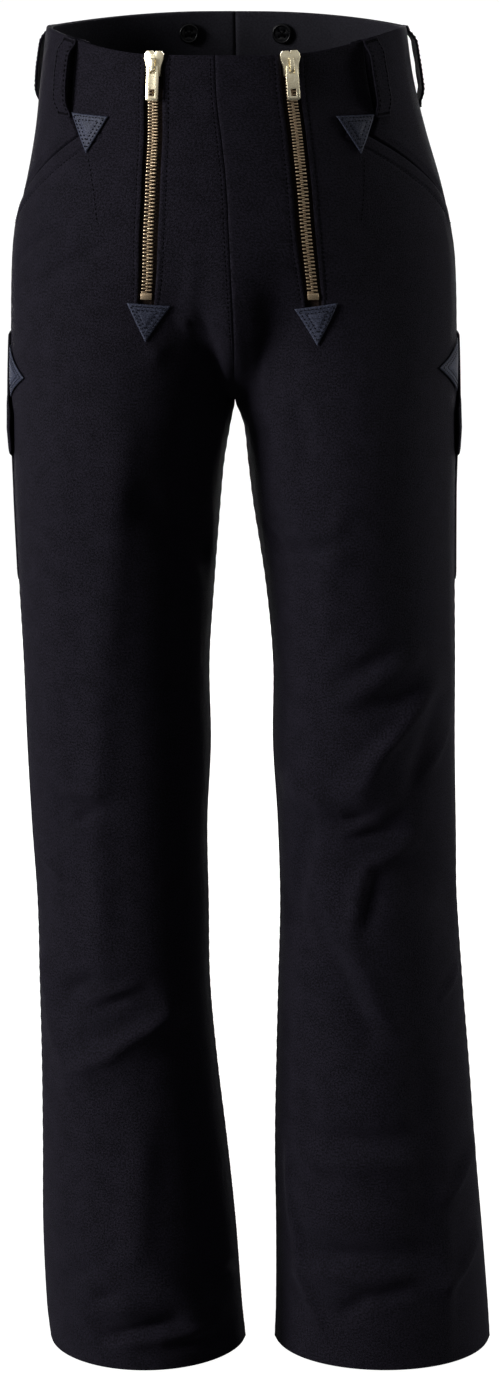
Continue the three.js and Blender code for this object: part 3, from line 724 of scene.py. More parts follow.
class Shading:
    """The node groups that several finishes share, and the materials made so far."""

    def __init__(self) -> None:
        """Makes the shared groups once."""
        self.groups = {"mottle": self.mottle_group(), "weave": self.weave_group(), "grain": self.grain_group()}
        self.made: dict[str, bpy.types.Material] = {}

    def of(self, finish: Finish) -> bpy.types.Material:
        """The material of a finish, made when it is first asked for."""
        if finish.name not in self.made:
            work = MaterialWork(finish.name, finish.coordinates, self.groups)
            finish.dress(work)
            self.made[finish.name] = work.material
        return self.made[finish.name]

    @staticmethod
    def new_group(name: str, scales: dict[str, float], result: str) -> tuple:
        """An empty node group on a vector.

        Args:
            name: the group's name.
            scales: each further input and its default.
            result: the output's name.

        Returns:
            The work on its tree, the inputs' sockets and the socket of its output.
        """
        tree = bpy.data.node_groups.new(name, "ShaderNodeTree")
        tree.interface.new_socket(name="Vector", in_out="INPUT", socket_type="NodeSocketVector")
        for label, scale in scales.items():
            socket = tree.interface.new_socket(name=label, in_out="INPUT", socket_type="NodeSocketFloat")
            socket.default_value = scale
        tree.interface.new_socket(name=result, in_out="OUTPUT", socket_type="NodeSocketFloat")
        into, out = tree.nodes.new("NodeGroupInput"), tree.nodes.new("NodeGroupOutput")
        return NodeWork(tree), into.outputs, out.inputs[result]

    @classmethod
    def mottle_group(cls) -> bpy.types.ShaderNodeTree:
        """Uneven nap or tarnish: a mask of large soft patches with fine grain in it."""
        work, into, out = cls.new_group("uneven_nap", {"Patch": 30.0, "Fine": 400.0}, "Mask")
        vector = (into["Vector"], "Vector")
        patch = work.add("TexNoise", vector, (into["Patch"], "Scale"), values={"Detail": 4, "Roughness": 0.6})
        fine = work.add("TexNoise", vector, (into["Fine"], "Scale"), values={"Detail": 2})
        both = ((patch.outputs["Fac"], "A"), (fine.outputs["Fac"], "B"))
        mixed = work.add("Mix", *both, values={"Factor": 0.78}).outputs["Result"]
        spread = work.add("MapRange", (mixed, "Value"), values={"From Min": 0.39, "From Max": 0.61})
        work.links.new(spread.outputs["Result"], out)
        return out.id_data

    @classmethod
    def weave_group(cls) -> bpy.types.ShaderNodeTree:
        """Warp and weft of a close twill, as a height."""
        work, into, out = cls.new_group("twill_weave", {"Threads": 1600.0}, "Height")
        counted = work.add("VectorMath", (into["Vector"], 0), (into["Threads"], "Scale"), operation="SCALE")
        thread = work.add("SeparateXYZ", (counted.outputs["Vector"], "Vector")).outputs

        def wave(slant: float) -> bpy.types.NodeSocket:
            """The sine, in whole turns, of x plus a share of y."""
            across = work.math("MULTIPLY_ADD", thread["Y"], slant, thread["X"])
            return work.math("SINE", work.math("MULTIPLY", across, math.tau))

        work.links.new(work.math("MULTIPLY_ADD", wave(0.5), 0.6, wave(0.0)), out)
        return out.id_data

    @classmethod
    def grain_group(cls) -> bpy.types.ShaderNodeTree:
        """Leather grain: small rounded cells, as a height."""
        work, into, out = cls.new_group("leather_grain", {"Cells": 900.0}, "Height")
        vector = (into["Vector"], "Vector")
        size = (into["Cells"], "Scale")
        cells = work.add("TexVoronoi", vector, size, feature="SMOOTH_F1", values={"Smoothness": 0.6})
        creases = work.add("TexNoise", vector, values={"Detail": 3, "Scale": 260})
        work.links.new(work.math("MULTIPLY_ADD", cells.outputs["Distance"], -0.8, creases.outputs["Fac"]), out)
        return out.id_data


# Mesh helpers


def mesh_of(bm: bmesh.types.BMesh, name: str) -> bpy.types.Mesh:
    """The finished mesh of a bmesh, which is freed."""
    mesh = bpy.data.meshes.new(name)
    bm.to_mesh(mesh)
    bm.free()
    return mesh


def add_piece(
    mesh: bpy.types.Mesh,
    material: bpy.types.Material,
    body: str = GARMENT,
    replaces: tuple[str, ...] = (),
) -> bpy.types.Object:
    """Puts a finished mesh in the scene as a piece of the garment.

    Args:
        mesh: its mesh, in place and in metres, whose name it takes.
        material: its material.
        body: the body that it moves with.
        replaces: the frame's nodes that it stands for.

    Returns:
        The piece's object.
    """
    mesh.materials.append(material)
    piece = bpy.data.objects.new(mesh.name, mesh)
    bpy.context.scene.collection.objects.link(piece)
    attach(piece, body)
    if replaces:
        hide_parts(*replaces)
    return piece


def thicken(piece: bpy.types.Object, thickness_mm: float) -> None:
    """Gives a sheet its thickness inwards."""
    wall = piece.modifiers.new("cloth thickness", "SOLIDIFY")
    wall.thickness = thickness_mm * MM
    wall.offset = -1


@dataclass(frozen=True)
class Cut:
    """A piece of cloth as it is cut: width and height in metres, its area where it is no rectangle, its thickness."""

    flat: tuple[float, float]
    thickness_mm: float = CLOTH
    area: float | None = None

    def sew_in(
        self, mesh: bpy.types.Mesh, material: bpy.types.Material, slot: str, replaces: tuple[str, ...], under: str
    ) -> None:
        """Puts cloth of this cut in the scene.

        Args:
            mesh: its outer face.
            material: its material.
            slot: not used.
            replaces: the frame's nodes that it stands for.
            under: not used.
        """
        piece = add_piece(mesh, material, replaces=replaces)
        thicken(piece, self.thickness_mm)
        log.info("%s: %d faces", piece.name, len(mesh.polygons))


def laid_mesh(
    bm: bmesh.types.BMesh,
    name: str,
    points: Array,
    uv: Array,
    outward: Callable[[Array], Array],
    dropped: Callable[[bmesh.types.BMFace], bool] = lambda face: False,
) -> bpy.types.Mesh:
    """Lays a flat bmesh on a surface, maps it and turns its faces outwards.

    Args:
        bm: the flat bmesh, which is freed.
        name: the mesh's name.
        points: the place of each vertex, in millimetres.
        uv: the map at each vertex, in metres.
        outward: gives a direction that the faces should look along, for an array of points.
        dropped: says which faces are left out.

    Returns:
        The mesh, in metres.
    """
    for vertex, p in zip(bm.verts, points * MM):
        vertex.co = p
    layer = bm.loops.layers.uv.new("cloth")
    for face in bm.faces:
        face.smooth = True
        for loop in face.loops:
            loop[layer].uv = uv[loop.vert.index]
    gone = [face for face in bm.faces if dropped(face)]
    if gone:
        bmesh.ops.delete(bm, geom=gone, context="FACES")
    bm.normal_update()
    faces = list(bm.faces)[:: max(1, len(bm.faces) // 200)]
    looks = outward(np.array([f.calc_center_median() for f in faces]) / MM)
    if sum(float(np.dot(f.normal, o)) for f, o in zip(faces, looks)) < 0:
        bmesh.ops.reverse_faces(bm, faces=bm.faces)
    return mesh_of(bm, name)


def mapped_grid(
    name: str,
    columns: int,
    rows: int,
    place: Callable[[Array, Array], tuple[Array, Array]],
    outward: Callable[[Array], Array],
    dropped: Callable[[int, int], bool] = lambda i, j: False,
) -> bpy.types.Mesh:
    """A grid whose points are laid on a surface.

    Args:
        name: the mesh's name.
        columns: cells across.
        rows: cells down.
        place: gives the points in millimetres and the map in metres, for whole arrays of column and row.
        outward: gives a direction that the faces should look along, for an array of points.
        dropped: says which cells are left out.

    Returns:
        The mesh, in metres.
    """
    bm = bmesh.new()
    bmesh.ops.create_grid(bm, x_segments=columns, y_segments=rows, size=0.5)
    bm.verts.ensure_lookup_table()
    flat = np.array([v.co[:2] for v in bm.verts])
    i = np.rint((flat[:, 0] + 0.5) * columns).astype(int)
    j = np.rint((0.5 - flat[:, 1]) * rows).astype(int)

    def left_out(face: bmesh.types.BMFace) -> bool:
        """Whether a face's cell is left out."""
        ids = [v.index for v in face.verts]
        return dropped(int(min(i[ids])), int(min(j[ids])))

    return laid_mesh(bm, name, *place(i, j), outward, left_out)


def from_axis(centres: Array) -> Array:
    """Directions from the nearer leg's or the body's axis."""
    z = centres[:, 2]
    right, left = FORM.section(-1, z), FORM.section(1, z)
    legs = [(s["outer"] + s["inner"]) / 2 for s in (right, left)]
    leg = np.where(centres[:, 0] < right["centre"], *legs)
    axis = np.where(z > CROTCH_Z, right["centre"], leg)
    return np.stack([centres[:, 0] - axis, centres[:, 1], np.zeros_like(z)], axis=-1)


def spaced(
    low: Array, high: Array, span: Array, steps: tuple[tuple[float, ...], tuple[float, ...]], cells: int, i: Array
) -> Array:
    """q of column i between two edges, with columns at set distances in from both edges.

    Args:
        low: q of the first edge, for each point.
        high: q of the second edge.
        span: millimetres in a unit of q.
        steps: distances in from each edge, rising from 0.
        cells: even cells in the middle.
        i: the column of each point.

    Returns:
        q of each point.
    """
    first, second = np.array(steps[0]), np.array(steps[1])
    back = len(first) + len(second) - 2 + cells - i
    from_low = low + first[np.clip(i, 0, len(first) - 1)] / span
    from_high = high - second[np.clip(back, 0, len(second) - 1)] / span
    t = np.clip((i - len(first) + 1) / cells, 0, 1)
    middle = (low + first[-1] / span) * (1 - t) + (high - second[-1] / span) * t
    return np.where(i < len(first), from_low, np.where(back < len(second), from_high, middle))


def joined_copies(name: str, template: bmesh.types.BMesh, frames: Array) -> bpy.types.Mesh:
    """One mesh of many copies of a small shape.

    Args:
        name: the mesh's name.
        template: the small shape.
        frames: one 4 by 4 matrix for each copy.

    Returns:
        The joined mesh.
    """
    template.verts.ensure_lookup_table()
    shape = np.array([(*v.co, 1.0) for v in template.verts])
    faces = [[v.index for v in f.verts] for f in template.faces]
    points = np.einsum("nij,vj->nvi", frames, shape)[..., :3].reshape(-1, 3)
    count = len(shape)
    all_faces = [[k + n * count for k in f] for n in range(len(frames)) for f in faces]
    mesh = bpy.data.meshes.new(name)
    mesh.from_pydata(points.tolist(), [], all_faces)
    mesh.polygons.foreach_set("use_smooth", [True] * len(all_faces))
    mesh.update()
    return mesh


def frames_from(centres: Array, along: Array, out: Array, scale: tuple[float, float, float]) -> Array:
    """Matrices whose x runs along, z runs out and y across, scaled and placed.

    Args:
        centres: the places.
        along: directions along.
        out: directions out of the cloth.
        scale: size along, across and out.

    Returns:
        An array of 4 by 4 matrices.
    """
    x = along / np.linalg.norm(along, axis=-1, keepdims=True)
    z = out - (out * x).sum(-1, keepdims=True) * x
    z /= np.linalg.norm(z, axis=-1, keepdims=True)
    y = np.cross(z, x)
    frames = np.zeros((len(centres), 4, 4))
    frames[:, :3, 0] = x * scale[0]
    frames[:, :3, 1] = y * scale[1]
    frames[:, :3, 2] = z * scale[2]
    frames[:, :3, 3] = centres
    frames[:, 3, 3] = 1
    return frames


@dataclass(frozen=True)
class StitchSize:
    """A lockstitch as it shows: its length, thickness and pitch, in millimetres."""

    length: float = 2.1
    width: float = 1.0
    height: float = 0.7
    pitch: float = 3.6


def bead_of(around: int, along: int) -> bmesh.types.BMesh:
    """A small ball with its poles along x, for stitches and threads."""
    bead = bmesh.new()
    turn = Matrix.Rotation(math.pi / 2, 4, "Y")
    bmesh.ops.create_uvsphere(bead, u_segments=around, v_segments=along, radius=1, matrix=turn)
    return bead


def rounded(bm: bmesh.types.BMesh, edges: list[bmesh.types.BMEdge], width: float, segments: int) -> None:
    """Rounds edges by a width."""
    bmesh.ops.bevel(
        bm, geom=edges, offset=width, offset_type="OFFSET", affect="EDGES", segments=segments, profile=0.5,
        material=-1, clamp_overlap=True,
    )


class Sewing:
    """Rows of stitches, gathered into a few joined pieces."""

    def __init__(self) -> None:
        """Starts with no rows."""
        self.rows: dict[str, list[Array]] = {}

    @staticmethod
    def surface_frames(points: Array, out: Array, size: StitchSize) -> Array:
        """Frames of the stitches along a line of points.

        Args:
            points: the line on the cloth, in millimetres.
            out: the cloth's outward directions at them.
            size: the stitch.

        Returns:
            One matrix for each stitch, in metres.
        """
        run = np.concatenate([[0], np.cumsum(np.linalg.norm(np.diff(points, axis=0), axis=1))])
        count = max(1, int(run[-1] / size.pitch))
        middles = (np.arange(count) + 0.5) * run[-1] / count

        def at(distance: Array, values: Array) -> Array:
            """Values at distances along the line."""
            return np.stack([np.interp(distance, run, values[:, k]) for k in range(3)], axis=-1)

        centres = at(middles, points)
        ahead = at(np.minimum(middles + size.length / 2, run[-1]), points)
        behind = at(np.maximum(middles - size.length / 2, 0), points)
        normals = at(middles, out)
        sizes = (size.length / 2 * MM, size.width / 2 * MM, size.height / 2 * MM)
        return frames_from(centres * MM, ahead - behind, normals, sizes)

    def add(self, piece: str, points: Array, out: Array, size: StitchSize = StitchSize()) -> None:
        """Adds a row to a piece."""
        self.rows.setdefault(piece, []).append(self.surface_frames(points, out, size))

    def on_panel(
        self, piece: str, side: int, panel: Panel, q: Array, z: Array, size: StitchSize = StitchSize()
    ) -> None:
        """Adds a row that follows points of a panel."""
        q, z = np.broadcast_arrays(np.asarray(q, float), np.asarray(z, float))
        self.add(piece, panel_point(side, panel, q, z, 0.1), FORM.normal(side, q, z), size)

    def build(self, material: bpy.types.Material, slot: str = "cloth") -> None:
        """Makes each piece as one joined mesh."""
        bead = bead_of(5, 4)
        for name, rows in self.rows.items():
            add_piece(joined_copies(name, bead, np.concatenate(rows)), material)
            log.info("%s: %d stitches", name, sum(len(r) for r in rows))
        bead.free()


@dataclass
class Panels:
    """The four main panels, and the sewing on them."""

    shading: Shading
    sewing: Sewing
    edge_steps: tuple[float, ...] = (0, 0.8, 1.6, 2.4, 3.4, 5, 6.8, 8.2, 9.4, 11, 13)
    slit_steps: tuple[float, ...] = (0, 0.8, 1.6, 2.6, 3.4, 4.2, 5.2, 7)
    outer_cells: int = 34
    fly_cells: int = 12
    back_cells: int = 58
    front_cut: Cut = Cut((0.345, 1.11), area=0.245)
    back_cut: Cut = Cut((0.375, 1.13), area=0.262)

    @staticmethod
    def levels() -> Array:
        """Levels of the panels' rows: close at the top, the crotch and the hem."""
        spans = [(0, 6, 1.0), (6, 60, 2.4), (60, 84, 1.5), (84, 206, 2.6), (206, 214, 1.0), (214, 274, 2.4)]
        spans += [(274, 304, 1.2), (304, 344, 2.0), (344, 1070, 3.0), (1070, 1080, 1.0)]
        parts = [np.arange(a, b, step) for a, b, step in spans]
        return -np.append(np.concatenate(parts), SIDE_LENGTH)

    @staticmethod
    def lengths_of(panel: str) -> tuple[str, ...]:
        """The frame's nodes of one panel, which is one cloth here."""
        return tuple(f"{panel}_{length}" for length in PANEL_LENGTHS)

    def build(self) -> None:
        """Makes the panels."""
        for side in Side:
            self.front(side)
            self.back(side)
            self.sew(side)

    def front(self, side: Side) -> None:
        """The front panel, with its zip slit and its slanted pocket edge."""
        s = side.value
        levels = self.levels()
        outer_last = len(self.edge_steps) + len(self.slit_steps) - 2 + self.outer_cells
        fly_last = len(self.edge_steps) + len(self.slit_steps) - 2 + self.fly_cells
        slit_cells = 4

        def column_q(i: Array, z: Array) -> Array:
            """q of each column at each level."""
            span = FORM.span(s, z)
            half, middle = ZIP_SLIT / span, zip_q(s, z)
            steps = (self.edge_steps, self.slit_steps)
            outer = spaced(front_edge_q(z), middle - half, span, steps, self.outer_cells, i)
            gap = middle + half * (2 * (i - outer_last) / slit_cells - 1)
            k = i - outer_last - slit_cells
            fly = spaced(middle + half, 1, span, steps[::-1], self.fly_cells, k)
            return np.where(i <= outer_last, outer, np.where(k < 0, gap, fly))

        def place(i: Array, j: Array) -> tuple[Array, Array]:
            """Points and map of the panel."""
            z = levels[j]
            q = column_q(i, z)
            return panel_point(s, Panel.FRONT, q, z), np.stack([s * q * FORM.span(s, z), z], axis=-1) * MM

        def in_slit(i: int, j: int) -> bool:
            """Whether a cell is in the zip's slit."""
            return outer_last <= i < outer_last + slit_cells and levels[j] > ZIP_END

        columns = outer_last + slit_cells + fly_last
        mesh = mapped_grid(f"front_cloth_{side.word}", columns, len(levels) - 1, place, from_axis, in_slit)
        nodes = self.lengths_of(f"front_panel_{side.word}")
        self.front_cut.sew_in(mesh, self.shading.of(BLACK_CLOTH), "cloth", nodes, f"back_cloth_{side.word}")

    def back(self, side: Side) -> None:
        """The back panel."""
        s = side.value
        levels = self.levels()
        steps = (self.edge_steps, self.edge_steps)

        def place(i: Array, j: Array) -> tuple[Array, Array]:
            """Points and map of the panel."""
            z = levels[j]
            span = FORM.span(s, z)
            q = -spaced(0, 1, span, steps, self.back_cells, i)
            return panel_point(s, Panel.BACK, q, z), np.stack([s * q * span, z], axis=-1) * MM

        columns = 2 * (len(self.edge_steps) - 1) + self.back_cells
        mesh = mapped_grid(f"back_cloth_{side.word}", columns, len(levels) - 1, place, from_axis)
        nodes = self.lengths_of(f"back_panel_{side.word}")
        self.back_cut.sew_in(mesh, self.shading.of(BLACK_CLOTH), "cloth", nodes, f"front_cloth_{side.word}")

    def sew(self, side: Side) -> None:
        """Adds the topstitching of one side."""
        s, word = side.value, side.word
        add = self.sewing.on_panel
        zips = np.arange(-2.0, -205.0, -2.0)
        for sign in (-1, 1):
            q = zip_q(s, zips) + sign * ZIP_ROW / FORM.span(s, zips)
            add(f"zip_stitches_{word}", s, Panel.FRONT, q, zips)
        if s < 0:
            z = np.arange(-2.0, -268.0, -3.0)
            add("centre_stitches", s, Panel.FRONT, 1 - 3.5 / FORM.span(s, z), z)
            z = np.arange(-2.0, -262.0, -3.0)
            for row in SEAM_ROWS:
                add("seat_stitches", s, Panel.BACK, -1 + row / FORM.span(s, z), z)
        q = np.linspace(0.475, 0.0, 60)
        z = MOUTH_END + q / MOUTH_START_Q * (MOUTH_START - MOUTH_END) - MOUTH_ROW * 1.2
        add(f"pocket_stitches_{word}", s, Panel.FRONT, q, z)
        z = np.arange(-96.0, -146.0, -2.0)
        add(f"pocket_stitches_{word}", s, Panel.FRONT, 0.527 - 0.0013 * (z + 95), z)
        z = np.arange(-160.0, -1079.0, -4.0)
        for row in SEAM_ROWS:
            add(f"side_seam_stitches_{word}", s, Panel.FRONT, row / FORM.span(s, z), z)
        z = np.arange(-300.0, -1079.0, -4.0)
        for row in SEAM_ROWS:
            add(f"inseam_stitches_{word}", s, Panel.FRONT, 1 - row / FORM.span(s, z), z)


@dataclass
class Pockets:
    """The slant pockets' facings and the rule pockets on the thighs."""

    shading: Shading
    sewing: Sewing
    facing_cut: Cut = Cut((0.115, 0.15), area=0.0102)
    rule_cut: Cut = Cut((0.105, 0.204), 1.4, 0.0195)

    def build(self) -> None:
        """Makes the pocket pieces of both sides."""
        for side in Side:
            self.facing(side)
            self.rule_pocket(side)

    def facing(self, side: Side) -> None:
        """The cloth that shows above the pocket mouth and passes under the front panel."""
        s = side.value
        levels = -np.append(np.arange(0, 146.9, 2.1), 147.0)
        columns = 68

        def place(i: Array, j: Array) -> tuple[Array, Array]:
            """Points and map of the facing."""
            z = levels[j]
            edge = front_edge_q(z)
            q = (edge + 0.04) * i / columns
            tuck = smoothstep(-z, 143, 147)
            under = 1.4 * smoothstep(q, edge - 0.1, edge - 0.03)
            under = under + 4.4 * smoothstep(q, edge - 0.034, edge - 0.018) + tuck
            span = FORM.span(s, z)
            relief = dent(q * span, *SEAM_GROOVE) + dent(z - 1, *TOP_GROOVE)
            points = FORM.point(s, q, z, -under, relief) + seam_shift(s, Panel.FRONT)
            return points, np.stack([s * q * span, z], axis=-1) * MM

        mesh = mapped_grid(f"pocket_cloth_{side.word}", columns, len(levels) - 1, place, from_axis)
        cloth = self.shading.of(BLACK_CLOTH)
        self.facing_cut.sew_in(mesh, cloth, "cloth", (f"pocket_facing_{side.word}",), f"front_cloth_{side.word}")

    @staticmethod
    def rule_edge(z: Array) -> tuple[Array, Array]:
        """q of the pocket's front edge and how far that edge stands off, at each level."""
        levels = np.array([-440, -417, -391.5, -366, -340.5, -332, -315, -299, -290, -277, -264, -248, -240])
        edge = np.array([-0.02, -0.02, -0.02, -0.02, -0.02, 0.064, 0.07, 0.075, 0.012, 0.012, 0.012, 0.012, 0.012])
        lift = np.array([0, 0, 0, 0, 0.5, 1.5, 2.6, 2.0, 1.5, 1.2, 0.8, 0.3, 0])
        return np.interp(z, levels, edge), np.interp(z, levels, lift)

    def rule_point(self, side: int, t: Array, z: Array, out: float = 0.0) -> tuple[Array, Array]:
        """A point of the rule pocket's face, and its q."""
        edge, lift = self.rule_edge(z)
        q = edge + (-0.27 - edge) * t
        span = FORM.span(side, z)
        from_front, from_back = (edge - q) * span, (q + 0.27) * span
        rim = np.minimum(np.minimum(from_back, from_front), np.minimum(-240 - z, z + 440))
        raised = lift * (1 - smoothstep(t, 0, 0.8)) + dent(rim, 0.8, 1.2)
        raised = raised + dent(from_back - 2.2, 0.3, 0.9) + dent(z + 440 - 2.2, 0.3, 0.9)
        swell = 0.9 * np.sin(math.pi * np.clip(t, 0, 1)) * np.sin(math.pi * np.clip((-240 - z) / 200, 0, 1))
        crease = 0.5 * np.sin(z / 11 + 4 * t) * smoothstep(t, 0.1, 0.3) * (1 - smoothstep(t, 0.75, 0.95))
        return FORM.point(side, q, z, 2.7 + out, raised + swell + crease), q

    def rule_pocket(self, side: Side) -> None:
        """The rule pocket, open in front between the leather corner and the side seam's lower tack."""
        s = side.value
        bands = ((240, 290, 2.0), (290, 342, 1.2), (342, 440, 2.5))
        levels = -np.unique(np.concatenate([np.arange(*band) for band in bands] + [[440]]))
        columns = 34

        def place(i: Array, j: Array) -> tuple[Array, Array]:
            """Points and map of the pocket."""
            z = levels[j]
            points, q = self.rule_point(s, i / columns, z)
            return points, np.stack([s * q * FORM.span(s, z), z], axis=-1) * MM

        mesh = mapped_grid(f"rule_cloth_{side.word}", columns, len(levels) - 1, place, from_axis)
        cloth = self.shading.of(BLACK_CLOTH)
        self.rule_cut.sew_in(mesh, cloth, "cloth", (f"rule_pocket_{side.word}",), f"back_cloth_{side.word}")
        z = np.arange(-243.0, -438.0, -3.0)
        for inset in (2.2, 8.0):
            t = 1 - inset / (0.27 * FORM.span(s, z))
            points, q = self.rule_point(s, t, z, 0.1)
            self.sewing.add(f"rule_stitches_{side.word}", points, FORM.normal(s, q, z))
        for inset in (2.2, 8.0):
            t = np.linspace(0.03, 0.97, 30)
            points, q = self.rule_point(s, t, np.full(30, -440.0 + inset), 0.1)
            self.sewing.add(f"rule_stitches_{side.word}", points, FORM.normal(s, q, np.full(30, -440.0 + inset)))


@dataclass
class WaistInside:
    """The facing inside the back of the waist, with its brace buttons."""

    shading: Shading
    depth: float = 42.0
    cut: Cut = Cut((0.205, 0.042), 1.2)

    def build(self) -> None:
        """Makes the facing's halves and both buttons."""
        for side in Side:
            self.facing(side)
            self.button(side)

    def facing(self, side: Side) -> None:
        """Half of the facing, plain, with a vertical seam."""
        s = side.value
        columns, rows = 60, 22

        def place(i: Array, j: Array) -> tuple[Array, Array]:
            """Points and map of the facing; the inner face is the one seen."""
            q = -0.02 - 0.98 * i / columns
            z = -0.5 - self.depth * j / rows
            span = FORM.span(s, z)
            out = np.full_like(z, -CLOTH - LAY_GAP - 1.2)
            inner = (1 + q) * span
            relief = 0.5 * np.exp(-((inner / 1.4) ** 2)) + 0.35 * np.exp(-(((q + 0.62) * span / 1.2) ** 2))
            relief = relief - 0.25 * np.sin(q * span / 13 + z / 9)
            points = FORM.point(s, q, z, out, relief) + seam_shift(s, Panel.BACK)
            return points, np.stack([s * q * span, z], axis=-1) * MM

        def inward(centres: Array) -> Array:
            """The facing is seen from inside."""
            return -from_axis(centres)

        mesh = mapped_grid(f"waist_lining_{side.word}", columns, rows, place, inward)
        cloth = self.shading.of(FACING_CLOTH)
        self.cut.sew_in(mesh, cloth, "facing", (f"waist_facing_{side.word}",), f"back_cloth_{side.word}")

    def button(self, side: Side) -> None:
        """A four-hole button: a bevelled copy of the frame's disc, a turned rim and its thread."""
        node = f"brace_button_{side.word}"
        plastic = self.shading.of(BLACK_BUTTON)
        add_piece(hardware_copy(node, f"button_{side.word}", 0.35), plastic, replaces=(node,))
        mount = next(m for m in frame["record"]["mounts"] if m["name"] == f"brace_button_face_{side.word}")
        face, out = Vector(mount["pos_m"]), Vector(mount["axis"]).normalized()
        turn = out.to_track_quat("Z", "Y").to_matrix().to_4x4()
        rim = bmesh.new()
        ring = bmesh.ops.create_circle(rim, segments=10, radius=0.0011)["verts"]
        bmesh.ops.rotate(rim, verts=ring, matrix=Matrix.Rotation(math.pi / 2, 3, "X"))
        bmesh.ops.translate(rim, verts=ring, vec=(0.0069, 0, 0.0))
        profile = rim.verts[:] + rim.edges[:]
        bmesh.ops.spin(rim, geom=profile, axis=(0, 0, 1), cent=(0, 0, 0), angle=math.tau, steps=40, use_merge=True)
        bmesh.ops.remove_doubles(rim, verts=rim.verts, dist=1e-6)
        bmesh.ops.recalc_face_normals(rim, faces=rim.faces)
        bmesh.ops.transform(rim, matrix=Matrix.Translation(face) @ turn, verts=rim.verts)
        for f in rim.faces:
            f.smooth = True
        add_piece(mesh_of(rim, f"button_rim_{side.word}"), plastic)
        threads = []
        x_axis = np.array(turn.to_3x3() @ Vector((1, 1, 0)).normalized())
        y_axis = np.array(turn.to_3x3() @ Vector((1, -1, 0)).normalized())
        for axis in (x_axis, y_axis):
            for shift in (-0.0003, 0, 0.0003):
                cross = np.cross(axis, np.array(out))
                centre = np.array(face) + cross * shift + np.array(out) * 0.0003
                threads.append(frames_from(centre[None], axis[None], np.array(out)[None], (0.0034, 0.00025, 0.0005)))
        bead = bead_of(6, 6)
        mesh = joined_copies(f"button_thread_{side.word}", bead, np.concatenate(threads))
        bead.free()
        add_piece(mesh, self.shading.of(BLACK_THREAD))
        log.info("%s made", node)


def hardware_copy(node: str, name: str, bevel_mm: float) -> bpy.types.Mesh:
    """A copy of a frame node's mesh, merged and with its edges rounded.

    Args:
        node: the frame's node.
        name: the new mesh's name.
        bevel_mm: width of the rounding.

    Returns:
        The new mesh.
    """
    bm = bmesh.new()
    bm.from_mesh(frame["nodes"][node].data)
    bmesh.ops.remove_doubles(bm, verts=bm.verts, dist=2e-6)
    bmesh.ops.dissolve_limit(bm, angle_limit=math.radians(2), verts=bm.verts, edges=bm.edges)
    bm.normal_update()
    sharp = [e for e in bm.edges if len(e.link_faces) == 2 and e.calc_face_angle(0) > math.radians(28)]
    rounded(bm, sharp, bevel_mm * MM, 2)
    bmesh.ops.triangulate(bm, faces=[f for f in bm.faces if len(f.verts) > 4])
    for f in bm.faces:
        f.smooth = True
    mesh = mesh_of(bm, name)
    mesh.set_sharp_from_angle(angle=math.radians(40))
    return mesh


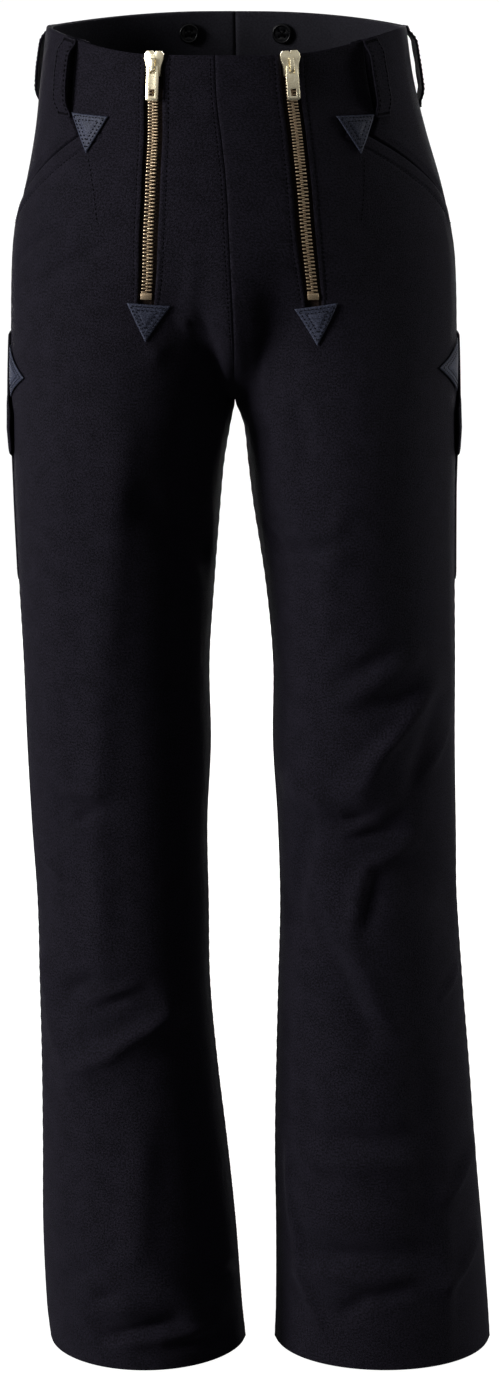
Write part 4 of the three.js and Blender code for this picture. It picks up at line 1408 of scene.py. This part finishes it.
@dataclass
class Zips:
    """Both zips: woven tape, cast teeth, end stops, sliders and pull tabs."""

    shading: Shading
    pitch: float = 2.8
    chain_top: float = -20.0
    chain_end: float = -197.5
    tape_out: float = -2.8
    tape_cut: Cut = Cut((0.025, 0.213), 0.9)

    def build(self) -> None:
        """Makes each side's zip."""
        for side in Side:
            self.tape(side)
            self.teeth(side)
            self.hardware(side)
            log.info("zip %s made", side.word)

    def tape(self, side: Side) -> None:
        """The tape behind the slit, with its cord beside the teeth."""
        s = side.value
        levels = -np.append(np.arange(3, 215.9, 2.0), 216.0)
        offsets = np.array([-12.5, -9, -7, -6, -5.2, -4.6, -4, -3.2, -2, 0, 2, 3.2, 4, 4.6, 5.2, 6, 7, 9, 12.5])

        def place(i: Array, j: Array) -> tuple[Array, Array]:
            """Points and map of the tape."""
            z = levels[j]
            off = offsets[i]
            q = zip_q(s, z) + off / FORM.span(s, z)
            out = self.tape_out + 0.5 * np.exp(-(((np.abs(off) - 4.2) / 0.9) ** 2))
            return FORM.point(s, q, z, out), np.stack([off, z], axis=-1) * MM

        mesh = mapped_grid(f"tape_{side.word}", len(offsets) - 1, len(levels) - 1, place, from_axis)
        cloth = self.shading.of(TAPE_CLOTH)
        self.tape_cut.sew_in(mesh, cloth, "zip_tape", (f"zip_tape_{side.word}",), f"front_cloth_{side.word}")

    @staticmethod
    def tooth() -> bmesh.types.BMesh:
        """One cast tooth that clasps the tape's cord at -x and reaches past the middle at +x, in millimetres."""
        bm = bmesh.new()
        bmesh.ops.create_cube(bm, size=1)
        along = [e for e in bm.edges if abs(e.verts[0].co.x - e.verts[1].co.x) > 0.5]
        bmesh.ops.subdivide_edges(bm, edges=along, cuts=2)
        for v in bm.verts:
            t = v.co.x + 0.5
            half = 0.62 if t < 0.4 else (0.5 if t < 0.8 else 0.38)
            v.co = (-4.0 + 5.0 * t, v.co.y * 2 * half, v.co.z * (2.6 - 0.5 * t))
        rounded(bm, bm.edges[:], 0.24, 1)
        bmesh.ops.recalc_face_normals(bm, faces=bm.faces)
        return bm

    def teeth(self, side: Side) -> None:
        """The closed chain, its teeth alternating from both tapes."""
        s = side.value
        z = np.arange(self.chain_top - self.pitch / 4, self.chain_end, -self.pitch / 2)
        middle = zip_q(s, z)
        centres = FORM.point(s, middle, z, -0.55)
        across = FORM.point(s, middle + 0.004, z, -0.55) - FORM.point(s, middle - 0.004, z, -0.55)
        across *= -s
        out = FORM.normal(s, middle, z)
        turned = across * np.where(np.arange(len(z)) % 2 == 0, 1, -1)[:, None]
        template = self.tooth()
        mesh = joined_copies(f"teeth_{side.word}", template, frames_from(centres * MM, turned, out, (MM, MM, MM)))
        template.free()
        add_piece(mesh, self.shading.of(CHAIN_METAL), replaces=(f"zip_chain_{side.word}",))

    def hardware(self, side: Side) -> None:
        """The end stop, the slider and the pull tab, with rounded edges."""
        word = side.word
        tab = f"pull_tab_{word}"
        for node, name, bevel_mm, finish, slot, body in (
            (f"zip_stop_{word}", "stop", 0.5, CHAIN_METAL, "zip_metal", GARMENT),
            (f"zip_slider_{word}", "slider", 0.32, SLIDER_METAL, "slider_metal", GARMENT),
            (tab, "tab", 0.28, SLIDER_METAL, "slider_metal", tab),
        ):
            mesh = hardware_copy(node, f"{name}_{word}", bevel_mm)
            add_piece(mesh, self.shading.of(finish), body, (node,))


@dataclass(frozen=True)
class Corner:
    """A leather triangle by its three corners on the cloth."""

    name: str
    side: int
    corners: tuple[tuple[float, float], tuple[float, float], tuple[float, float]]


CORNERS = (
    Corner("pocket_corner_right", -1, ((0.438, -59.5), (0.612, -58.5), (0.52, -92))),
    Corner("pocket_corner_left", 1, ((0.438, -60.5), (0.6, -58), (0.54, -92))),
    Corner("zip_corner_right", -1, ((0.655, -205.5), (0.793, -207.5), (0.668, -236))),
    Corner("zip_corner_left", 1, ((0.657, -205.5), (0.79, -210), (0.677, -239))),
    Corner("side_corner_right", -1, ((0.035, -249), (0.035, -290), (0.19, -269.5))),
    Corner("side_corner_left", 1, ((0.045, -243), (0.045, -285), (0.222, -261))),
)


@dataclass
class LeatherCorners:
    """The leather triangles that guard the pocket mouths, zip ends and rule pockets."""

    shading: Shading
    sewing: Sewing
    thickness: float = 1.5
    cells: int = 26
    rows: tuple[float, float] = (2.0, 5.0)

    def build(self) -> None:
        """Makes every corner and its two rows of stitches."""
        for corner in CORNERS:
            self.corner(corner)
            for inset in self.rows:
                self.row(corner, inset)

    @staticmethod
    def flat(corner: Corner) -> tuple[Array, float]:
        """The corner points in flat millimetres, and the span that was used."""
        z = np.array([p[1] for p in corner.corners], float)
        span = float(FORM.span(corner.side, np.array([z.mean()]))[0])
        return np.array([(p[0] * span, p[1]) for p in corner.corners]), span

    def surface(self, corner: Corner, flat: Array, out: Array | float) -> tuple[Array, Array]:
        """Points and outward directions above flat places.

        Args:
            corner: the leather triangle.
            flat: places in flat millimetres.
            out: height over the underside's seat.

        Returns:
            Points in millimetres and unit normals.
        """
        _, span = self.flat(corner)
        q, z = flat[:, 0] / span, flat[:, 1]
        return FORM.point(corner.side, q, z, LAY_GAP + out), FORM.normal(corner.side, q, z)

    @staticmethod
    def edges(triangle: Array) -> list[tuple[Array, Array]]:
        """A point and the inward normal of each edge of a flat triangle."""
        centre, found = triangle.mean(axis=0), []
        for a, b in zip(triangle, np.roll(triangle, -1, axis=0)):
            normal = np.array([-(b - a)[1], (b - a)[0]]) / np.linalg.norm(b - a)
            found.append((a, normal * np.sign(np.dot(centre - a, normal))))
        return found

    def corner(self, corner: Corner) -> None:
        """One triangle with rounded rim, stitch grooves and a slight crown."""
        triangle, _ = self.flat(corner)
        bm = bmesh.new()
        for x, y in triangle:
            bm.verts.new((x, y, 0))
        bm.faces.new(bm.verts)
        bmesh.ops.subdivide_edges(bm, edges=bm.edges[:], cuts=self.cells, use_grid_fill=True)
        bm.verts.ensure_lookup_table()
        flat = np.array([v.co[:2] for v in bm.verts])
        rim = np.min([(flat - a) @ normal for a, normal in self.edges(triangle)], axis=0)
        height = self.thickness * (0.45 + 0.55 * smoothstep(rim, 0, 1.1)) + 0.25 * smoothstep(rim, 2, 9)
        for row in self.rows:
            height = height + dent(rim - row, 0.6, 1.0)
        points, _ = self.surface(corner, flat, height)
        mesh = laid_mesh(bm, f"leather_{corner.name}", points, flat * MM, from_axis)
        piece = add_piece(mesh, self.shading.of(GREY_LEATHER), replaces=(corner.name,))
        thicken(piece, self.thickness * 0.45)
        log.info("%s: %d faces", piece.name, len(mesh.polygons))

    def row(self, corner: Corner, inset: float) -> None:
        """A row of stitches at a distance from the rim."""
        triangle, _ = self.flat(corner)
        lines = [(normal, np.dot(normal, a) + inset) for a, normal in self.edges(triangle)]
        points = []
        for first, second in zip(lines, lines[1:] + lines[:1]):
            points.append(np.linalg.solve(np.array([first[0], second[0]]), np.array([first[1], second[1]])))
        size = StitchSize(length=1.8, width=0.85, height=0.5, pitch=2.9)
        for a, b in zip(points, points[1:] + points[:1]):
            t = np.linspace(0, 1, 24)[:, None]
            path, out = self.surface(corner, a * (1 - t) + b * t, self.thickness + 0.15)
            self.sewing.add(f"stitches_{corner.name}", path, out, size)


@dataclass(frozen=True)
class LoopPlace:
    """Where one belt loop is sewn."""

    name: str
    side: int
    q: float


LOOPS = (
    LoopPlace("belt_loop_front_right", -1, 0.395),
    LoopPlace("belt_loop_front_left", 1, 0.395),
    LoopPlace("belt_loop_side_right", -1, -0.13),
    LoopPlace("belt_loop_side_left", 1, -0.13),
    LoopPlace("belt_loop_back", -1, -1),
)


@dataclass
class BeltLoops:
    """The five belt loops, standing off the cloth between their sewn ends."""

    shading: Shading
    sewing: Sewing
    half: float = 7.5
    cloth: float = 1.8
    drops: tuple[float, ...] = (0.5, 4, 8.5, 13, 32, 50, 55.5, 60, 64)
    clears: tuple[float, ...] = (0.5, 1, 4.6, 6.5, 7.2, 6.4, 4.4, 1, 0.5)
    cut: Cut = Cut((0.015, 0.069), 1.8)

    def build(self) -> None:
        """Makes each loop, its edge rows and its bar tacks."""
        for place in LOOPS:
            self.loop(place)
            self.sew(place)

    def clearance(self, drop: Array) -> Array:
        """How far the band's inner face stands off at each drop from the top."""
        even = np.interp(drop, self.drops, self.clears)
        near = (np.interp(drop - 1.5, self.drops, self.clears) + np.interp(drop + 1.5, self.drops, self.clears)) / 2
        return (even + near) / 2

    def point(self, place: LoopPlace, across: Array, drop: Array, out: Array | float = 0.0) -> Array:
        """Points of the band's outer face.

        Args:
            place: the loop.
            across: millimetres from its middle, to the wearer's front.
            drop: millimetres below the top edge.
            out: height over the outer face.

        Returns:
            Points in millimetres.
        """
        q, z = np.full_like(drop, place.q), -drop
        step = FORM.smooth(place.side, q + 0.002, z) - FORM.smooth(place.side, q - 0.002, z)
        step /= np.linalg.norm(step, axis=-1, keepdims=True)
        middle = FORM.point(place.side, q, z, self.clearance(drop) + self.cloth + out)
        return middle + step * across[:, None]

    def loop(self, place: LoopPlace) -> None:
        """The band: rounded edges, two stitch grooves and a slight crown."""
        steps = np.array([-7.5, -7.2, -6.6, -5.8, -4.8, -3, -1, 1, 3, 4.8, 5.8, 6.6, 7.2, 7.5])
        rows = 72

        def lay(i: Array, j: Array) -> tuple[Array, Array]:
            """Points and map of the band."""
            across = steps[i]
            drop = 0.5 + 63.5 * j / rows
            edge = self.half - np.abs(across)
            relief = dent(edge, 0.5, 0.6) + dent(edge - 1.8, 0.22, 0.6) + 0.12 * np.sin(drop / 3.1 + across / 4)
            return self.point(place, across, drop, relief - 0.1), np.stack([across, -drop], axis=-1) * MM

        mesh = mapped_grid(f"loop_{place.name[10:]}", len(steps) - 1, rows, lay, from_axis)
        under = f"{'front' if place.q > 0 else 'back'}_cloth_{Side(place.side).word}"
        self.cut.sew_in(mesh, self.shading.of(BLACK_CLOTH), "cloth", (place.name,), under)

    def sew(self, place: LoopPlace) -> None:
        """Two rows down the band and a dense tack at each end."""
        drop = np.linspace(1.5, 63, 60)
        normal = FORM.normal(place.side, np.full(60, place.q), -drop)
        for across in (-5.6, 5.6):
            self.sewing.add("loop_stitches", self.point(place, np.full(60, across), drop, 0.1), normal)
        dense = StitchSize(length=1.6, width=0.8, height=0.6, pitch=1.5)
        for level in (2.0, 3.0, 61.0, 62.0):
            across = np.linspace(-6.4, 6.4, 14)
            at = np.full(14, level)
            out = FORM.normal(place.side, np.full(14, place.q), -at)
            self.sewing.add("loop_stitches", self.point(place, across, at, 0.15), out, dense)


@dataclass(frozen=True)
class Softbox:
    """A soft lamp: its bearing from the front in degrees, positive to the picture's right, and its sizes in metres."""

    name: str
    bearing: float
    distance: float
    height: float
    width: float
    tall: float
    power: float


@dataclass
class Studio:
    """A pale floor, soft lights and the camera."""

    camera_place: tuple[float, float, float] = (0.019, -3.2, 0.152)
    pitch: float = 12.0
    focal_mm: float = 106.0
    aim: tuple[float, float, float] = (0.02, 0.0, -0.5)

    lights: tuple[Softbox, ...] = (
        Softbox("key", -64, 3.2, 0.35, 1.1, 2.2, 150),
        Softbox("side", 100, 3.0, -0.2, 0.9, 2.2, 40),
        Softbox("back_left", -168, 3.0, 0.3, 1.2, 2.2, 50),
        Softbox("back_right", 166, 3.0, 0.3, 1.2, 2.2, 46),
    )

    def build(self) -> None:
        """Sets up floor, world, lights and camera."""
        self.floor()
        self.world()
        for box in self.lights:
            self.light(box)
        self.camera()
        bpy.context.scene.view_settings.view_transform = "Standard"

    @staticmethod
    def floor() -> None:
        """A wide plain floor just below the hems."""
        bm = bmesh.new()
        bmesh.ops.create_grid(bm, x_segments=1, y_segments=1, size=30)
        bmesh.ops.translate(bm, verts=bm.verts, vec=(0, 0, -1.0865))
        mesh = mesh_of(bm, "floor")
        floor = bpy.data.objects.new("floor", mesh)
        bpy.context.scene.collection.objects.link(floor)
        material = bpy.data.materials.new("floor_white")
        material.use_nodes = True
        shader = material.node_tree.nodes["Principled BSDF"]
        shader.inputs["Base Color"].default_value = (0.12, 0.12, 0.12, 1)
        shader.inputs["Roughness"].default_value = 0.9
        shader.inputs["Emission Color"].default_value = (1, 1, 1, 1)
        path = material.node_tree.nodes.new("ShaderNodeLightPath")
        material.node_tree.links.new(path.outputs["Is Camera Ray"], shader.inputs["Emission Strength"])
        mesh.materials.append(material)

    @staticmethod
    def world() -> None:
        """A white surround to the eye and in gloss that lights the cloth only a little."""
        world = bpy.data.worlds.new("studio")
        world.use_nodes = True
        work = NodeWork(world.node_tree)
        background = work.nodes["Background"].inputs
        background["Color"].default_value = (1, 1, 1, 1)
        seen = work.add("LightPath").outputs
        glossy = work.math("MULTIPLY_ADD", seen["Is Glossy Ray"], 0.42, 0.045)
        work.links.new(work.math("ADD", seen["Is Camera Ray"], glossy), background["Strength"])
        bpy.context.scene.world = world

    def light(self, box: Softbox) -> None:
        """A rectangular area light turned to the trousers' middle."""
        data = bpy.data.lights.new(box.name, "AREA")
        data.shape = "RECTANGLE"
        data.size, data.size_y = box.width, box.tall
        data.energy = box.power
        lamp = bpy.data.objects.new(box.name, data)
        bearing = math.radians(box.bearing)
        place = Vector((math.sin(bearing) * box.distance, -math.cos(bearing) * box.distance, box.height))
        lamp.location = place
        lamp.rotation_euler = (Vector(self.aim) - place).to_track_quat("-Z", "Y").to_euler()
        bpy.context.scene.collection.objects.link(lamp)

    def camera(self) -> None:
        """The photograph's view: level with the waist and looking down a little."""
        data = bpy.data.cameras.new("camera")
        data.sensor_width = 36
        data.lens = self.focal_mm
        data.clip_end = 100
        camera = bpy.data.objects.new("camera", data)
        camera.location = self.camera_place
        camera.rotation_euler = (math.radians(90 - self.pitch), 0, 0)
        bpy.context.scene.collection.objects.link(camera)
        bpy.context.scene.camera = camera


def main() -> None:
    """Builds the trousers over the frame."""
    logging.basicConfig(level=logging.INFO, format="%(message)s")
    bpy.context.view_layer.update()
    Studio().build()
    shading, sewing, leather_sewing = Shading(), Sewing(), Sewing()
    Panels(shading, sewing).build()
    Pockets(shading, sewing).build()
    WaistInside(shading).build()
    Zips(shading).build()
    LeatherCorners(shading, leather_sewing).build()
    BeltLoops(shading, sewing).build()
    sewing.build(shading.of(BLACK_THREAD))
    leather_sewing.build(shading.of(GREY_THREAD), "leather")


if __name__ == "__main__":
    main()
